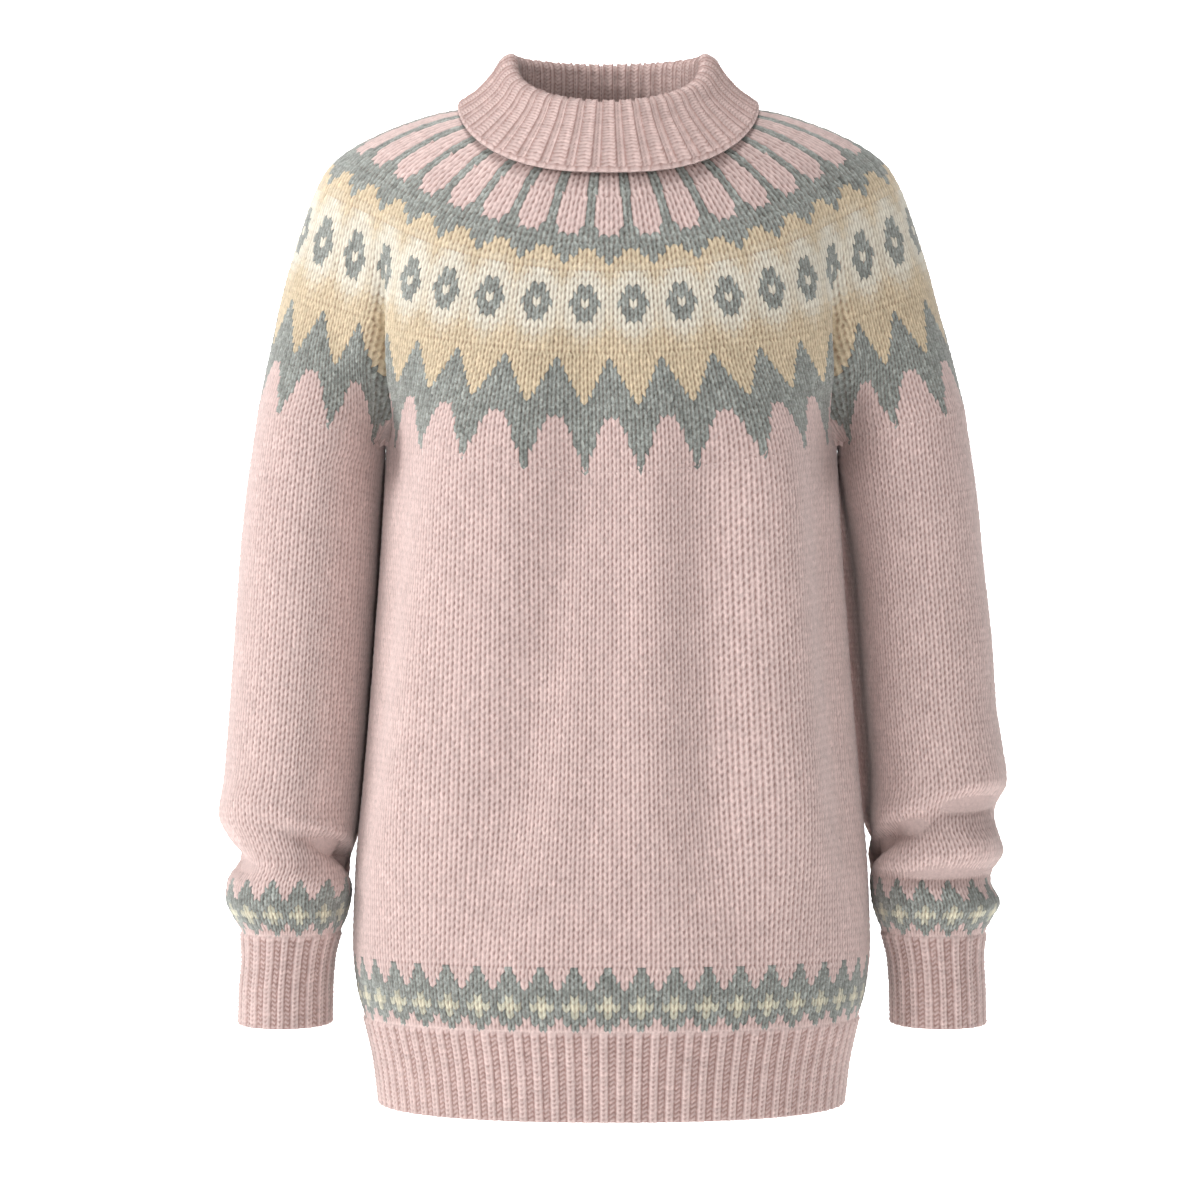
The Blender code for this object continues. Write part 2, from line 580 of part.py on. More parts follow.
def build_wall(name, outer, inner, colour, closed=True):
    """One solid from rows of outer points and rows of inner points, both listed downwards.

    outer and inner are lists of (shares, points). With closed False the rows are strips, and
    their two ends are closed as well.
    """
    mesh = bmesh.new()
    outer_rows, inner_rows = (
        [
            [(float(share), mesh.verts.new(point)) for share, point in zip(shares, points)]
            for shares, points in rows
        ]
        for rows in (outer, inner)
    )
    for upper, lower in zip(outer_rows, outer_rows[1:]):
        lace(mesh, lower, upper, closed)
    for upper, lower in zip(inner_rows, inner_rows[1:]):
        lace(mesh, upper, lower, closed)
    lace(mesh, outer_rows[0], inner_rows[0], closed)
    lace(mesh, inner_rows[-1], outer_rows[-1], closed)
    if not closed:
        for end in (0, -1):
            out = [row[end][1] for row in outer_rows]
            into = [row[end][1] for row in inner_rows]
            for a, b, c, d in zip(out, out[1:], into[1:], into):
                mesh.faces.new((a, b, c, d) if end else (d, c, b, a))
    bmesh.ops.recalc_face_normals(mesh, faces=mesh.faces)
    if mesh.calc_volume(signed=True) < 0:
        bmesh.ops.reverse_faces(mesh, faces=mesh.faces)
    data = bpy.data.meshes.new(name)
    mesh.to_mesh(data)
    mesh.free()
    data.shade_smooth()
    data.set_sharp_from_angle(angle=SHARP_ANGLE)
    piece = bpy.data.objects.new(name, data)
    data.materials.append(yarn(name, colour))
    bpy.data.collections[GARMENT].objects.link(piece)
    return piece


def yarn(name, colour):
    material = bpy.data.materials.new(f"{name}_wool")
    material.use_nodes = True
    shader = material.node_tree.nodes["Principled BSDF"]
    shader.inputs["Base Color"].default_value = colour
    shader.inputs["Roughness"].default_value = YARN_ROUGHNESS
    shader.inputs["Metallic"].default_value = 0.0
    return material


def mirrored(rows):
    """Rows of a piece at +X, carried over to -X."""
    return [(shares, points * (-1, 1, 1)) for shares, points in rows]


def rib_shares(ribs):
    """Where a ring's vertices lie, three a rib, and how high each is raised."""
    rib = np.repeat(np.arange(ribs), len(RIB_EDGES))
    shares = (rib + np.tile(RIB_EDGES, ribs)) / ribs
    return shares, np.tile(RIB_HEIGHTS, ribs)


def make_yoke():
    shares = np.arange(0, RING_STITCHES, STITCHES_A_COLUMN) / RING_STITCHES
    outer, inner = [], []
    for row in YOKE_SECTIONS:
        points = yoke(row, shares)
        inside = min(max(row, ROW_STEP), YOKE_ROWS - ROW_STEP)
        normals = outward(yoke, inside, shares, ROW_STEP)
        flat = 1 - ease(row, 0.0, LEVEL_ROWS)
        normals = normals * (1 - flat) + level(normals) * flat
        normals /= np.linalg.norm(normals, axis=1, keepdims=True)
        outer.append((shares, points))
        inner.append((shares, points - WALL * normals))
    build_wall("yoke", outer, inner, YARN_SAND)


def body_panel(name, middle):
    """Front or back, from side seam to side seam; middle is its middle's share of the ring."""
    columns = BODY_SHARE // STITCHES_A_COLUMN
    half = np.arange(columns + 1) / columns * UNDERARM_QUARTER / 4
    half = np.append(half, 0.25 - SEAM / 2 / BODY_GIRTH)
    shares = middle + np.concatenate([-half[:0:-1], half])
    outer, inner = [], []
    for down in BODY_SECTIONS:
        top = torso_seam(shares) - SEAM
        z = top + down * (HEM_TOP - top)
        points = body(z, shares)
        outer.append((shares, points))
        inner.append((shares, points - WALL * level_normals(body, z, shares)))
    build_wall(name, outer, inner, YARN_PINK, closed=False)


def ribbed_tube(surface, ribs, heights):
    """Rows of a tube whose ribs are raised in its outer face, over a plain inside."""
    shares, raised = rib_shares(ribs)
    plain = np.arange(ribs) / ribs
    outer, inner = [], []
    for z in heights:
        ribbed = surface(z + 0 * shares, shares)
        out = level_normals(surface, z + 0 * shares, shares)
        outer.append((shares, ribbed + out * (RIB_RISE * raised)[:, None]))
        smooth = surface(z + 0 * plain, plain)
        inner.append((plain, smooth - RIB_WALL * level_normals(surface, z + 0 * plain, plain)))
    return outer, inner


def make_hem():
    def surface(z, share):
        return torso_point(z, torso_angle(share))

    outer, inner = ribbed_tube(surface, HEM_RIBS, (HEM_TOP - SEAM, HEM_MIDDLE, HEM_END))
    build_wall("hem_band", outer, inner, YARN_PINK)


def make_sleeve(name, side, folds, mirror):
    def surface(z, share):
        return sleeve(side, folds, z, share)

    columns = (SIDE_SHARE - BODY_SHARE) // STITCHES_A_COLUMN
    half = UNDERARM_SHARE + np.arange(columns) / columns * (0.5 - UNDERARM_SHARE)
    shares = np.concatenate([[0.0], half, [0.5], 1 - half[::-1]])
    outer, inner = [], []
    for z in (sleeve_seam(shares) - SEAM, *SLEEVE_SECTIONS, CUFF_TOP):
        height = z + 0 * shares
        points = surface(height, shares)
        outer.append((shares, points))
        inner.append((shares, points - WALL * level_normals(surface, height, shares)))
    if mirror:
        outer, inner = mirrored(outer), mirrored(inner)
    build_wall(name, outer, inner, YARN_PINK)


def make_cuff(name, side, mirror):
    def surface(z, share):
        return sleeve_point(side, z, sleeve_angle(share))

    outer, inner = ribbed_tube(surface, CUFF_RIBS, (CUFF_TOP - SEAM, *CUFF_SECTIONS, CUFF_END))
    if mirror:
        outer, inner = mirrored(outer), mirrored(inner)
    build_wall(name, outer, inner, YARN_PINK)


def make_collar():
    """The visible face, with its ribs, is the inside of the neck and the outside of the fall."""
    shares, raised = rib_shares(COLLAR_RIBS)
    plain = np.arange(COLLAR_RIBS) / COLLAR_RIBS
    face, back = [], []
    for step in COLLAR_SECTIONS:
        rise = RIB_RISE * ease(step, 0.0, 1.0)
        out = -collar_normals(step, shares)
        points = collar(step, shares) + out * (RIB_WALL / 2 + raised * rise)[:, None]
        face.append((shares, points))
        back.append((plain, collar(step, plain) + collar_normals(step, plain) * RIB_WALL / 2))
    build_wall("collar", face, back, YARN_PINK)


def main():
    for old in list(bpy.data.objects):
        bpy.data.objects.remove(old)
    bpy.context.scene.collection.children.link(bpy.data.collections.new(GARMENT))
    make_yoke()
    make_collar()
    body_panel("body_front", 0.0)
    body_panel("body_back", 0.5)
    make_hem()
    make_sleeve("sleeve_left", LEFT_SLEEVE, LEFT_SLEEVE_FOLDS, mirror=False)
    make_sleeve("sleeve_right", RIGHT_SLEEVE, RIGHT_SLEEVE_FOLDS, mirror=True)
    make_cuff("cuff_left", LEFT_SLEEVE, mirror=False)
    make_cuff("cuff_right", RIGHT_SLEEVE, mirror=True)


main()
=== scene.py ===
"""Nordic yoke sweater in chunky wool: every stitch, rib and colour change of its knitting.

Metres, +Z up, the front faces -Y and the wearer's left is +X. Share is a place round a piece, from
0 to 1. Rows are knitted rows, counted upwards. Every piece is one cloth: a stitched outer face in
relief, laid just inside the form's outer surface, and a plainer inner face, joined at the rims.
"""

import bpy
import numpy as np
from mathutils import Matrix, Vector


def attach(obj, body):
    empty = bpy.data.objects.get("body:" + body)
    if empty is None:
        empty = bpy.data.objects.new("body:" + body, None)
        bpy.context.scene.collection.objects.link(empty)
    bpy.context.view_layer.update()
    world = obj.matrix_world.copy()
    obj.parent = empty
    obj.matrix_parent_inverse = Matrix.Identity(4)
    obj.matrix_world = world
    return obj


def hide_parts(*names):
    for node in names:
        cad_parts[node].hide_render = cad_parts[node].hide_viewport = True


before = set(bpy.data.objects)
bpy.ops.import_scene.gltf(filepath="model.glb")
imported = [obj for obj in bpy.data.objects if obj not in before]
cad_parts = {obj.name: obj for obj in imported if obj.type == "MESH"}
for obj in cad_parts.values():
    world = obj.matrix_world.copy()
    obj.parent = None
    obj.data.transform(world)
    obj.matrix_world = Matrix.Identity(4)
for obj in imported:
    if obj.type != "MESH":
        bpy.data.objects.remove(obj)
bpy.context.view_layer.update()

# Cloth.
WALL = 0.0025  # thickness of the plain knit
RIB_WALL = 0.0020  # thickness of the ribbing in its furrows
SEAM = 0.0003  # gap between two pieces at a seam
UNEVEN_HEIGHT = 0.00012  # spread of the yarn's height
UNEVEN_GAP_SHADE = 0.15  # spread of the painted shade in the gaps between stitches
HIDDEN_BY = 0.00012  # how far the half row under a seam lies below the other piece
UNDER_BY = 0.0007  # the same where ribs run on under stitches

# Stitches, rows and ribs.
STITCH_WIDTH = 0.0058  # gauge of the flat knit
STITCH_ROW = 0.0049
YOKE_ROWS = 45
RING_STITCHES = 252
REPEATS = 36  # of each motif round the yoke
BODY_SHARE = 36  # stitches from mid front to the underarm
SIDE_SHARE = 63  # stitches from mid front to the outside of the arm
UNDERARM_QUARTER = 0.90  # where the underarm lies on the quarter ring from mid front to the side
BODY_STITCHES = 160
BODY_ROWS = 77
BODY_GIRTH = 0.90  # round the body, for the widths of its folds
SLEEVE_STITCHES = 64
UNDERARM_STITCHES = 5  # of the sleeve, on each side of its innermost line
SLEEVE_ROWS = 74
BAND_ROWS = 9
HEM_BAND_STITCHES = 184
HEM_BAND_ROW = 0.0049  # height of a row in the hem's band
CUFF_BAND_ROW = 0.0044
HEM_RIBS = 86
HEM_ROWS = 19
CUFF_RIBS = 22
CUFF_ROWS = 20
COLLAR_RIBS = 40
COLLAR_ROWS = 44
COLLAR_ROW = 0.0031

# Flat sizes of the ribbed and tapered pieces, from their ribs, stitches and rows.
HEM_FLAT = (0.90, 0.060)
SLEEVE_FLAT = (0.371, 0.360)
CUFF_FLAT = (0.227, 0.063)
COLLAR_FLAT = (0.49, 0.136)

# Heights above the neck seam.
CHEST_SEAM = -0.2440  # yoke seam at the middle of the front
BACK_SEAM = -0.2320  # yoke seam at the middle of the back
UNDERARM = -0.2205  # yoke seam where body and sleeve meet
ARM_SEAM = -0.1960  # yoke seam on the outside of the arm
ARM_SEAM_POWER = 1.3  # with which it rises from the underarm
HEM_TOP = -0.6200
HEM_END = -0.6800
CUFF_TOP = -0.5620
CUFF_END = -0.6250


def table(columns, *rows):
    """A table with named columns, its rows in rising order of the first."""
    return dict(zip(columns.split(), np.array(rows, float).T))


TORSO = table(
    "z half_width side_y front_y back_y roundness",
    (-0.680, 0.1618, 0.004, -0.0960, 0.1000, 2.3),
    (-0.650, 0.1655, 0.004, -0.0975, 0.1020, 2.3),
    (-0.620, 0.1725, 0.004, -0.0985, 0.1035, 2.3),
    (-0.600, 0.1780, 0.004, -0.0990, 0.1045, 2.3),
    (-0.570, 0.1810, 0.004, -0.0995, 0.1055, 2.3),
    (-0.520, 0.1795, 0.005, -0.1010, 0.1060, 2.3),
    (-0.456, 0.1738, 0.005, -0.1045, 0.1050, 2.3),
    (-0.390, 0.1683, 0.006, -0.1080, 0.1035, 2.3),
    (-0.330, 0.1640, 0.007, -0.1115, 0.1030, 2.3),
    (-0.290, 0.1613, 0.008, -0.1145, 0.1040, 2.3),
    (-0.244, 0.1590, 0.008, -0.1175, 0.1060, 2.3),
    (-0.200, 0.1580, 0.008, -0.1185, 0.1075, 2.3),
)

SLEEVE_COLUMNS = "z inner_x outer_x middle_y half_depth roundness"
UPPER_SLEEVE = (
    (-0.300, 0.1632, 0.2605, 0.011, 0.0630, 2.3),
    (-0.260, 0.1610, 0.2565, 0.009, 0.0625, 2.3),
    (-0.220, 0.1587, 0.2508, 0.008, 0.0620, 2.3),
    (-0.190, 0.1587, 0.2465, 0.008, 0.0620, 2.3),
)
RIGHT_SLEEVE = table(
    SLEEVE_COLUMNS,
    (-0.625, 0.1965, 0.2595, -0.002, 0.0390, 2.1),
    (-0.600, 0.1960, 0.2588, -0.002, 0.0390, 2.1),
    (-0.580, 0.1945, 0.2572, -0.001, 0.0395, 2.1),
    (-0.562, 0.1900, 0.2585, 0.001, 0.0420, 2.1),
    (-0.551, 0.1852, 0.2645, 0.002, 0.0470, 2.2),
    (-0.538, 0.1824, 0.2700, 0.003, 0.0520, 2.2),
    (-0.526, 0.1813, 0.2690, 0.004, 0.0530, 2.2),
    (-0.511, 0.1800, 0.2610, 0.006, 0.0530, 2.2),
    (-0.497, 0.1788, 0.2680, 0.008, 0.0570, 2.2),
    (-0.480, 0.1772, 0.2742, 0.009, 0.0600, 2.3),
    (-0.455, 0.1750, 0.2718, 0.010, 0.0605, 2.3),
    (-0.405, 0.1707, 0.2680, 0.012, 0.0615, 2.3),
    (-0.360, 0.1673, 0.2648, 0.012, 0.0625, 2.3),
    *UPPER_SLEEVE,
)
LEFT_SLEEVE = table(
    SLEEVE_COLUMNS,
    (-0.625, 0.1960, 0.2605, -0.002, 0.0390, 2.1),
    (-0.600, 0.1955, 0.2598, -0.002, 0.0390, 2.1),
    (-0.580, 0.1940, 0.2590, -0.001, 0.0395, 2.1),
    (-0.562, 0.1895, 0.2612, 0.001, 0.0420, 2.1),
    (-0.551, 0.1852, 0.2665, 0.002, 0.0470, 2.2),
    (-0.541, 0.1826, 0.2718, 0.003, 0.0520, 2.2),
    (-0.526, 0.1813, 0.2655, 0.004, 0.0530, 2.2),
    (-0.505, 0.1796, 0.2745, 0.007, 0.0565, 2.2),
    (-0.484, 0.1775, 0.2680, 0.009, 0.0575, 2.2),
    (-0.458, 0.1752, 0.2772, 0.010, 0.0610, 2.3),
    (-0.430, 0.1728, 0.2740, 0.011, 0.0610, 2.3),
    (-0.405, 0.1707, 0.2702, 0.012, 0.0615, 2.3),
    (-0.360, 0.1673, 0.2672, 0.012, 0.0625, 2.3),
    *UPPER_SLEEVE,
)

# The yoke's smooth rings, by knitted row up from the seam. droop is the power with which a ring
# falls from its side to its front and back.
YOKE = table(
    "row middle_x half_width side_y front_y back_y side_z front_z back_z roundness droop",
    (0.0, 0.000, 0.2475, 0.008, -0.1175, 0.1065, -0.1960, -0.2440, -0.2320, 2.2, 1.4),
    (9.0, -0.001, 0.2385, 0.013, -0.1195, 0.1110, -0.1500, -0.2004, -0.1880, 2.2, 1.4),
    (14.5, -0.002, 0.2320, 0.017, -0.1185, 0.1150, -0.1180, -0.1735, -0.1570, 2.1, 1.4),
    (21.7, -0.002, 0.2190, 0.019, -0.1140, 0.1185, -0.0724, -0.1371, -0.1130, 2.1, 1.4),
    (29.0, -0.002, 0.2000, 0.016, -0.1050, 0.1150, -0.0288, -0.1008, -0.0650, 2.0, 1.8),
    (32.5, -0.002, 0.1768, 0.013, -0.0995, 0.1090, -0.0101, -0.0834, -0.0420, 2.0, 1.8),
    (40.0, -0.002, 0.1145, 0.006, -0.0875, 0.0870, 0.0125, -0.0440, 0.0000, 2.0, 1.6),
    (45.0, -0.002, 0.0780, 0.002, -0.0700, 0.0700, 0.0170, -0.0300, 0.0120, 2.0, 1.5),
)

# The collar's section, from the neck seam up the standing layer, over the fold and down the fall.
COLLAR = table(
    "step half_width front_y back_y side_z front_z back_z roundness droop",
    (0.0, 0.0775, -0.0695, 0.0695, 0.0158, -0.0306, 0.0108, 2.0, 1.5),
    (1.0, 0.0710, -0.0632, 0.0645, 0.0205, -0.0250, 0.0160, 2.0, 1.4),
    (2.0, 0.0660, -0.0580, 0.0600, 0.0300, -0.0140, 0.0275, 2.0, 1.2),
    (3.0, 0.0640, -0.0552, 0.0578, 0.0405, -0.0020, 0.0410, 2.1, 0.95),
    (3.7, 0.0645, -0.0553, 0.0580, 0.0478, 0.0055, 0.0500, 2.1, 0.85),
    (4.3, 0.0678, -0.0582, 0.0606, 0.0515, 0.0095, 0.0542, 2.1, 0.85),
    (5.0, 0.0730, -0.0630, 0.0654, 0.0492, 0.0070, 0.0520, 2.1, 0.85),
    (6.0, 0.0805, -0.0712, 0.0730, 0.0388, -0.0062, 0.0393, 2.15, 0.95),
    (7.0, 0.0910, -0.0805, 0.0820, 0.0272, -0.0210, 0.0252, 2.3, 1.15),
    (8.0, 0.1052, -0.0930, 0.0935, 0.0168, -0.0428, 0.0060, 2.6, 1.4),
)
COLLAR_END = 8.0
COLLAR_MIDDLE_X = -0.0022
COLLAR_MIDDLE_Y = 0.002

# Soft troughs and ridges that fall from the yoke down the body: across is the share of the body's
# ring from mid front, and lean is how far one drifts on its way down.
DRAPES = table(
    "across top bottom half_width depth lean",
    (-0.180, -0.200, -0.500, 0.020, -0.0028, -0.020),
    (-0.112, -0.150, -0.600, 0.028, 0.0062, -0.050),
    (-0.007, -0.120, -0.620, 0.026, -0.0112, -0.080),
    (0.022, -0.150, -0.600, 0.026, -0.0062, -0.050),
    (0.068, -0.160, -0.600, 0.022, -0.0078, 0.000),
    (0.122, -0.160, -0.600, 0.027, 0.0115, 0.004),
    (0.175, -0.210, -0.580, 0.020, -0.0038, 0.006),
    (0.340, -0.200, -0.560, 0.024, -0.0036, -0.015),
    (0.425, -0.150, -0.600, 0.026, 0.0045, -0.010),
    (0.480, -0.130, -0.580, 0.024, -0.0070, 0.020),
    (0.545, -0.170, -0.600, 0.024, 0.0040, 0.010),
    (0.610, -0.170, -0.580, 0.024, -0.0045, 0.012),
    (0.665, -0.180, -0.580, 0.022, 0.0035, 0.015),
)
DRAPE_STARTS = (0.0, 0.25)  # parts of its way down between which a drape appears
DRAPE_ENDS = (0.65, 1.0)  # and those between which it goes
DRAPE_SIDES = (0.72, 0.90)  # quarters of the ring between which the drapes fade out

# Creases of the sleeves: turn is the angle from the inner side through the front, in turns, and
# rise is how much higher the crease lies one turn further on.
FOLD_COLUMNS = "turn z rise span half_height depth"
RIGHT_SLEEVE_FOLDS = table(
    FOLD_COLUMNS,
    (0.07, -0.5085, 0.130, 0.13, 0.0070, -0.0150),
    (0.13, -0.4910, 0.130, 0.14, 0.0085, 0.0055),
    (0.20, -0.5200, 0.090, 0.15, 0.0085, 0.0055),
    (0.34, -0.468, -0.060, 0.12, 0.0130, 0.0032),
    (0.45, -0.5050, 0.080, 0.10, 0.0085, -0.0045),
    (0.70, -0.492, -0.080, 0.14, 0.0090, -0.0060),
    (0.90, -0.515, 0.100, 0.14, 0.0090, -0.0060),
)
LEFT_SLEEVE_FOLDS = table(
    FOLD_COLUMNS,
    (0.11, -0.4960, 0.130, 0.13, 0.0078, -0.0125),
    (0.34, -0.4690, -0.010, 0.11, 0.0080, -0.0085),
    (0.20, -0.4680, 0.090, 0.15, 0.0110, 0.0055),
    (0.26, -0.5010, 0.070, 0.17, 0.0095, 0.0055),
    (0.26, -0.5190, 0.010, 0.18, 0.0062, -0.0060),
    (0.68, -0.500, -0.090, 0.14, 0.0090, -0.0060),
    (0.88, -0.505, 0.110, 0.14, 0.0090, -0.0060),
)

BULGE_FREE = (0.02, 0.10)  # turns from the inner side between which bulges may rise

# Beside the body a sleeve's section is squarer behind. In front the right one is rounder, and the
# left one stands off from the body.
BEHIND = 6.0
RIGHT_SLEEVE.update(before=-1.1, stand_off=0.0)
LEFT_SLEEVE.update(before=-0.1, stand_off=0.0072)
STAND_OFF_TURN = (-0.40, -0.05)  # sines of the angle between which it opens
STAND_OFF_ABOVE = (-0.52, -0.44)
STAND_OFF_BELOW = (-0.232, -0.32)
SQUARER_ABOVE = (-0.56, -0.50)
SQUARER_BELOW = (-0.2215, -0.240)

# The pit of the arm: cloth near it is drawn in towards the sweater's middle depth.
PIT_X = (0.1570, 0.0160)  # where it lies and how far it spreads
PIT_Z = (-0.2235, 0.0280)
PIT_DEPTH = (0.0295, 0.0100)  # in front and behind
PIT_Y = (0.0080, 0.0550)  # its middle and how far from there it is fully drawn in

# The hollow in front of and behind the shoulder joint, where the cloth falls in beside the arm.
HOLLOW_TURN = 6.2 / 36  # share of the ring from mid front
HOLLOW_SPREAD = 1.6 / 36
HOLLOW = table(
    "row front back",
    (0.0, 0.000, 0.000),
    (8.0, 0.010, 0.006),
    (20.0, 0.021, 0.011),
    (27.0, 0.012, 0.007),
    (34.0, 0.000, 0.000),
)

# The narrow crease that runs up from the underarm beside the body.
TUCK_STITCH = 36.0  # from mid front or mid back, at the seam
TUCK_LEAN = 0.16  # stitches further out with every row
TUCK_SPREAD = 1.7  # stitches
TUCK = table(
    "row front back",
    (0.0, 0.000, 0.000),
    (2.0, 0.007, 0.004),
    (6.0, 0.017, 0.010),
    (12.0, 0.020, 0.011),
    (17.0, 0.013, 0.006),
    (25.0, 0.000, 0.000),
)
CREASE_ROWS = 27  # the underarm crease has faded out this many rows above the seam
CREASE_SOFT_ROWS = 14
CREASE_SPREAD = 1.15 / 36
CREASE_POWER = 1.4  # with which it fades

# How finely the rings are walked, and the steps with which normals are taken.
RING_SAMPLES = 1008
QUARTER_SAMPLES = 400
SHARE_SAMPLES = 200
QUARTER_ENDS = (0.0, 0.25, 0.5, 0.75, 1.0)
TURN_STEP = 0.0015
ROW_STEP = 0.5
COLLAR_STEP = 0.05
COLLAR_SAMPLES = 160  # with which the way along the collar's section is measured


def read(tab, column, at):
    """A column of a table at any key, smooth and without overshoot between the rows."""
    key, value = next(iter(tab.values())), tab[column]
    at = np.clip(at, key[0], key[-1])
    step = np.diff(key)
    slope = np.diff(value) / step
    before, after = slope[:-1], slope[1:]
    agree = before * after > 0
    mean = 2 * before * after / np.where(agree, before + after, 1.0)
    tangent = np.concatenate([slope[:1], np.where(agree, mean, 0.0), slope[-1:]])
    row = np.clip(np.searchsorted(key, at) - 1, 0, len(step) - 1)
    t = (at - key[row]) / step[row]
    start = (2 * t**3 - 3 * t**2 + 1) * value[row]
    leaving = (t**3 - 2 * t**2 + t) * step[row] * tangent[row]
    end = (3 * t**2 - 2 * t**3) * value[row + 1]
    arriving = (t**3 - t**2) * step[row] * tangent[row + 1]
    return start + leaving + end + arriving


def ease(value, start, end):
    """0 before start, 1 after end, and smooth between."""
    t = np.clip((value - start) / (end - start), 0.0, 1.0)
    return t * t * (3 - 2 * t)


def bell(distance):
    return np.exp(-(distance**2))


def past(share, other=0.0):
    """How far a place round a ring lies past another, from -0.5 to 0.5."""
    return (share - other + 0.5) % 1.0 - 0.5


def unit(vectors):
    return vectors / np.linalg.norm(vectors, axis=-1, keepdims=True)


def rounded(angle, roundness):
    """Sine and cosine of a superellipse."""
    sine, cosine = np.sin(angle), np.cos(angle)
    power = 2 / roundness
    return np.sign(sine) * np.abs(sine) ** power, np.sign(cosine) * np.abs(cosine) ** power


def read_all(tab, at):
    """The values of a table at a key, by column name."""
    return {name: read(tab, name, at) for name in list(tab)[1:]}


def section(values, angle):
    """x, y and the part ahead of a ring's points, from values by column name."""
    across, ahead = rounded(angle, values["roundness"])
    side_y = values["side_y"]
    front, back = values["front_y"] - side_y, values["back_y"] - side_y
    y = side_y + np.where(ahead > 0, front * ahead, -back * ahead)
    return values["half_width"] * across, y, ahead


def torso_point(z, angle):
    """The body's outer face: angle 0 is mid front, a quarter turn is the wearer's left side."""
    x, y, _ = section(read_all(TORSO, z), angle)
    return np.stack([x, y, z + 0 * angle], -1)


def even_angles(point):
    """A function from the share of a ring to its angle, even along each quarter of point(angle)."""
    angles = np.linspace(0, 2 * np.pi, 4 * QUARTER_SAMPLES + 1)
    steps = np.linalg.norm(np.diff(point(angles), axis=0), axis=1)
    walked = np.concatenate([[0.0], np.cumsum(steps)])
    quarters = walked[::QUARTER_SAMPLES]

    def angle_at(share):
        return np.interp(np.interp(share % 1.0, QUARTER_ENDS, quarters), walked, angles)

    return angle_at


torso_angle = even_angles(lambda angle: torso_point(CHEST_SEAM + 0 * angle, angle))


def torso_seam(share):
    """Height of the yoke seam on the body."""
    quarter = np.abs(past(share)) * 4  # 0 mid front, 1 side, 2 mid back
    middle = np.where(quarter < 1, CHEST_SEAM, BACK_SEAM)
    away = np.minimum(np.minimum(quarter, 2 - quarter) / UNDERARM_QUARTER, 1.0)
    return UNDERARM + (middle - UNDERARM) * np.cos(away * np.pi / 2) ** 2


def drape(z, share):
    """How far the cloth is pushed out, by height and the body's share."""
    push = 0 * share
    for across, top, bottom, half_width, depth, lean in zip(*DRAPES.values()):
        along = (top - z) / (top - bottom)
        aside = past(share, across) * BODY_GIRTH - lean * along
        fade = ease(along, *DRAPE_STARTS) * (1 - ease(along, *DRAPE_ENDS))
        push = push + depth * bell(aside / half_width) * fade
    quarter = np.abs((share + 0.25) % 0.5 - 0.25) * 4
    return push * (1 - ease(quarter, *DRAPE_SIDES))


def away(point):
    """Level unit vectors that point away from the sweater's middle line."""
    return unit(point * (1, 1, 0))


def pitted(point):
    """Points drawn in at the pit of the arm."""
    aside = (np.abs(point[..., 0]) - PIT_X[0]) / PIT_X[1]
    above = (point[..., 2] - PIT_Z[0]) / PIT_Z[1]
    ahead = (PIT_Y[0] - point[..., 1]) / PIT_Y[1]
    depth = np.where(ahead > 0, *PIT_DEPTH) * bell(aside) * bell(above) * np.clip(ahead, -1, 1)
    return point + depth[..., None] * (0, 1, 0)


def body(z, share):
    """The body with its drapes, which fade out above the hem band."""
    point = torso_point(z, torso_angle(share))
    return pitted(point + away(point) * drape(z, share)[..., None])


def sleeve_point(sleeve, z, angle):
    """A sleeve's outer face at +X: angle 0 is the side towards the body, a quarter turn the front."""
    inside = np.clip(np.cos(angle), 0, 1)
    squarer = inside * np.where(np.sin(angle) < 0, -BEHIND, sleeve["before"]) * np.sin(angle)
    squarer = squarer * ease(z, *SQUARER_BELOW) * ease(z, *SQUARER_ABOVE)
    ahead, across = rounded(angle, read(sleeve, "roundness", z) + squarer)
    inner, outer = read(sleeve, "inner_x", z), read(sleeve, "outer_x", z)
    beside = ease(z, *STAND_OFF_BELOW) * ease(z, *STAND_OFF_ABOVE)
    stand_off = sleeve["stand_off"] * beside * inside * ease(np.sin(angle), *STAND_OFF_TURN)
    x = (inner + outer) / 2 - (outer - inner) / 2 * across + stand_off
    y = read(sleeve, "middle_y", z) - read(sleeve, "half_depth", z) * ahead
    return np.stack([x, y, z + 0 * angle], -1)


def sleeve_level(angle):
    return sleeve_point(RIGHT_SLEEVE, UNDERARM + 0 * angle, angle)


sleeve_angle = even_angles(sleeve_level)
underarm_point = torso_point(
    np.array([UNDERARM]), torso_angle(np.array([UNDERARM_QUARTER / 4]))
)[0]
quarter_turn = np.linspace(0, np.pi / 2, QUARTER_SAMPLES)
UNDERARM_ANGLE = np.interp(
    -underarm_point[1], -sleeve_level(quarter_turn)[:, 1], quarter_turn
)
quarter_shares = np.linspace(0, 0.25, SHARE_SAMPLES)
UNDERARM_SHARE = np.interp(UNDERARM_ANGLE, sleeve_angle(quarter_shares), quarter_shares)


def sleeve_seam(share):
    """Height of the yoke seam on a sleeve, where share 0 is the side towards the body."""
    away = np.clip((np.abs(past(share)) - UNDERARM_SHARE) / (0.5 - UNDERARM_SHARE), 0, 1)
    return UNDERARM + (ARM_SEAM - UNDERARM) * np.sin(away * np.pi / 2) ** ARM_SEAM_POWER


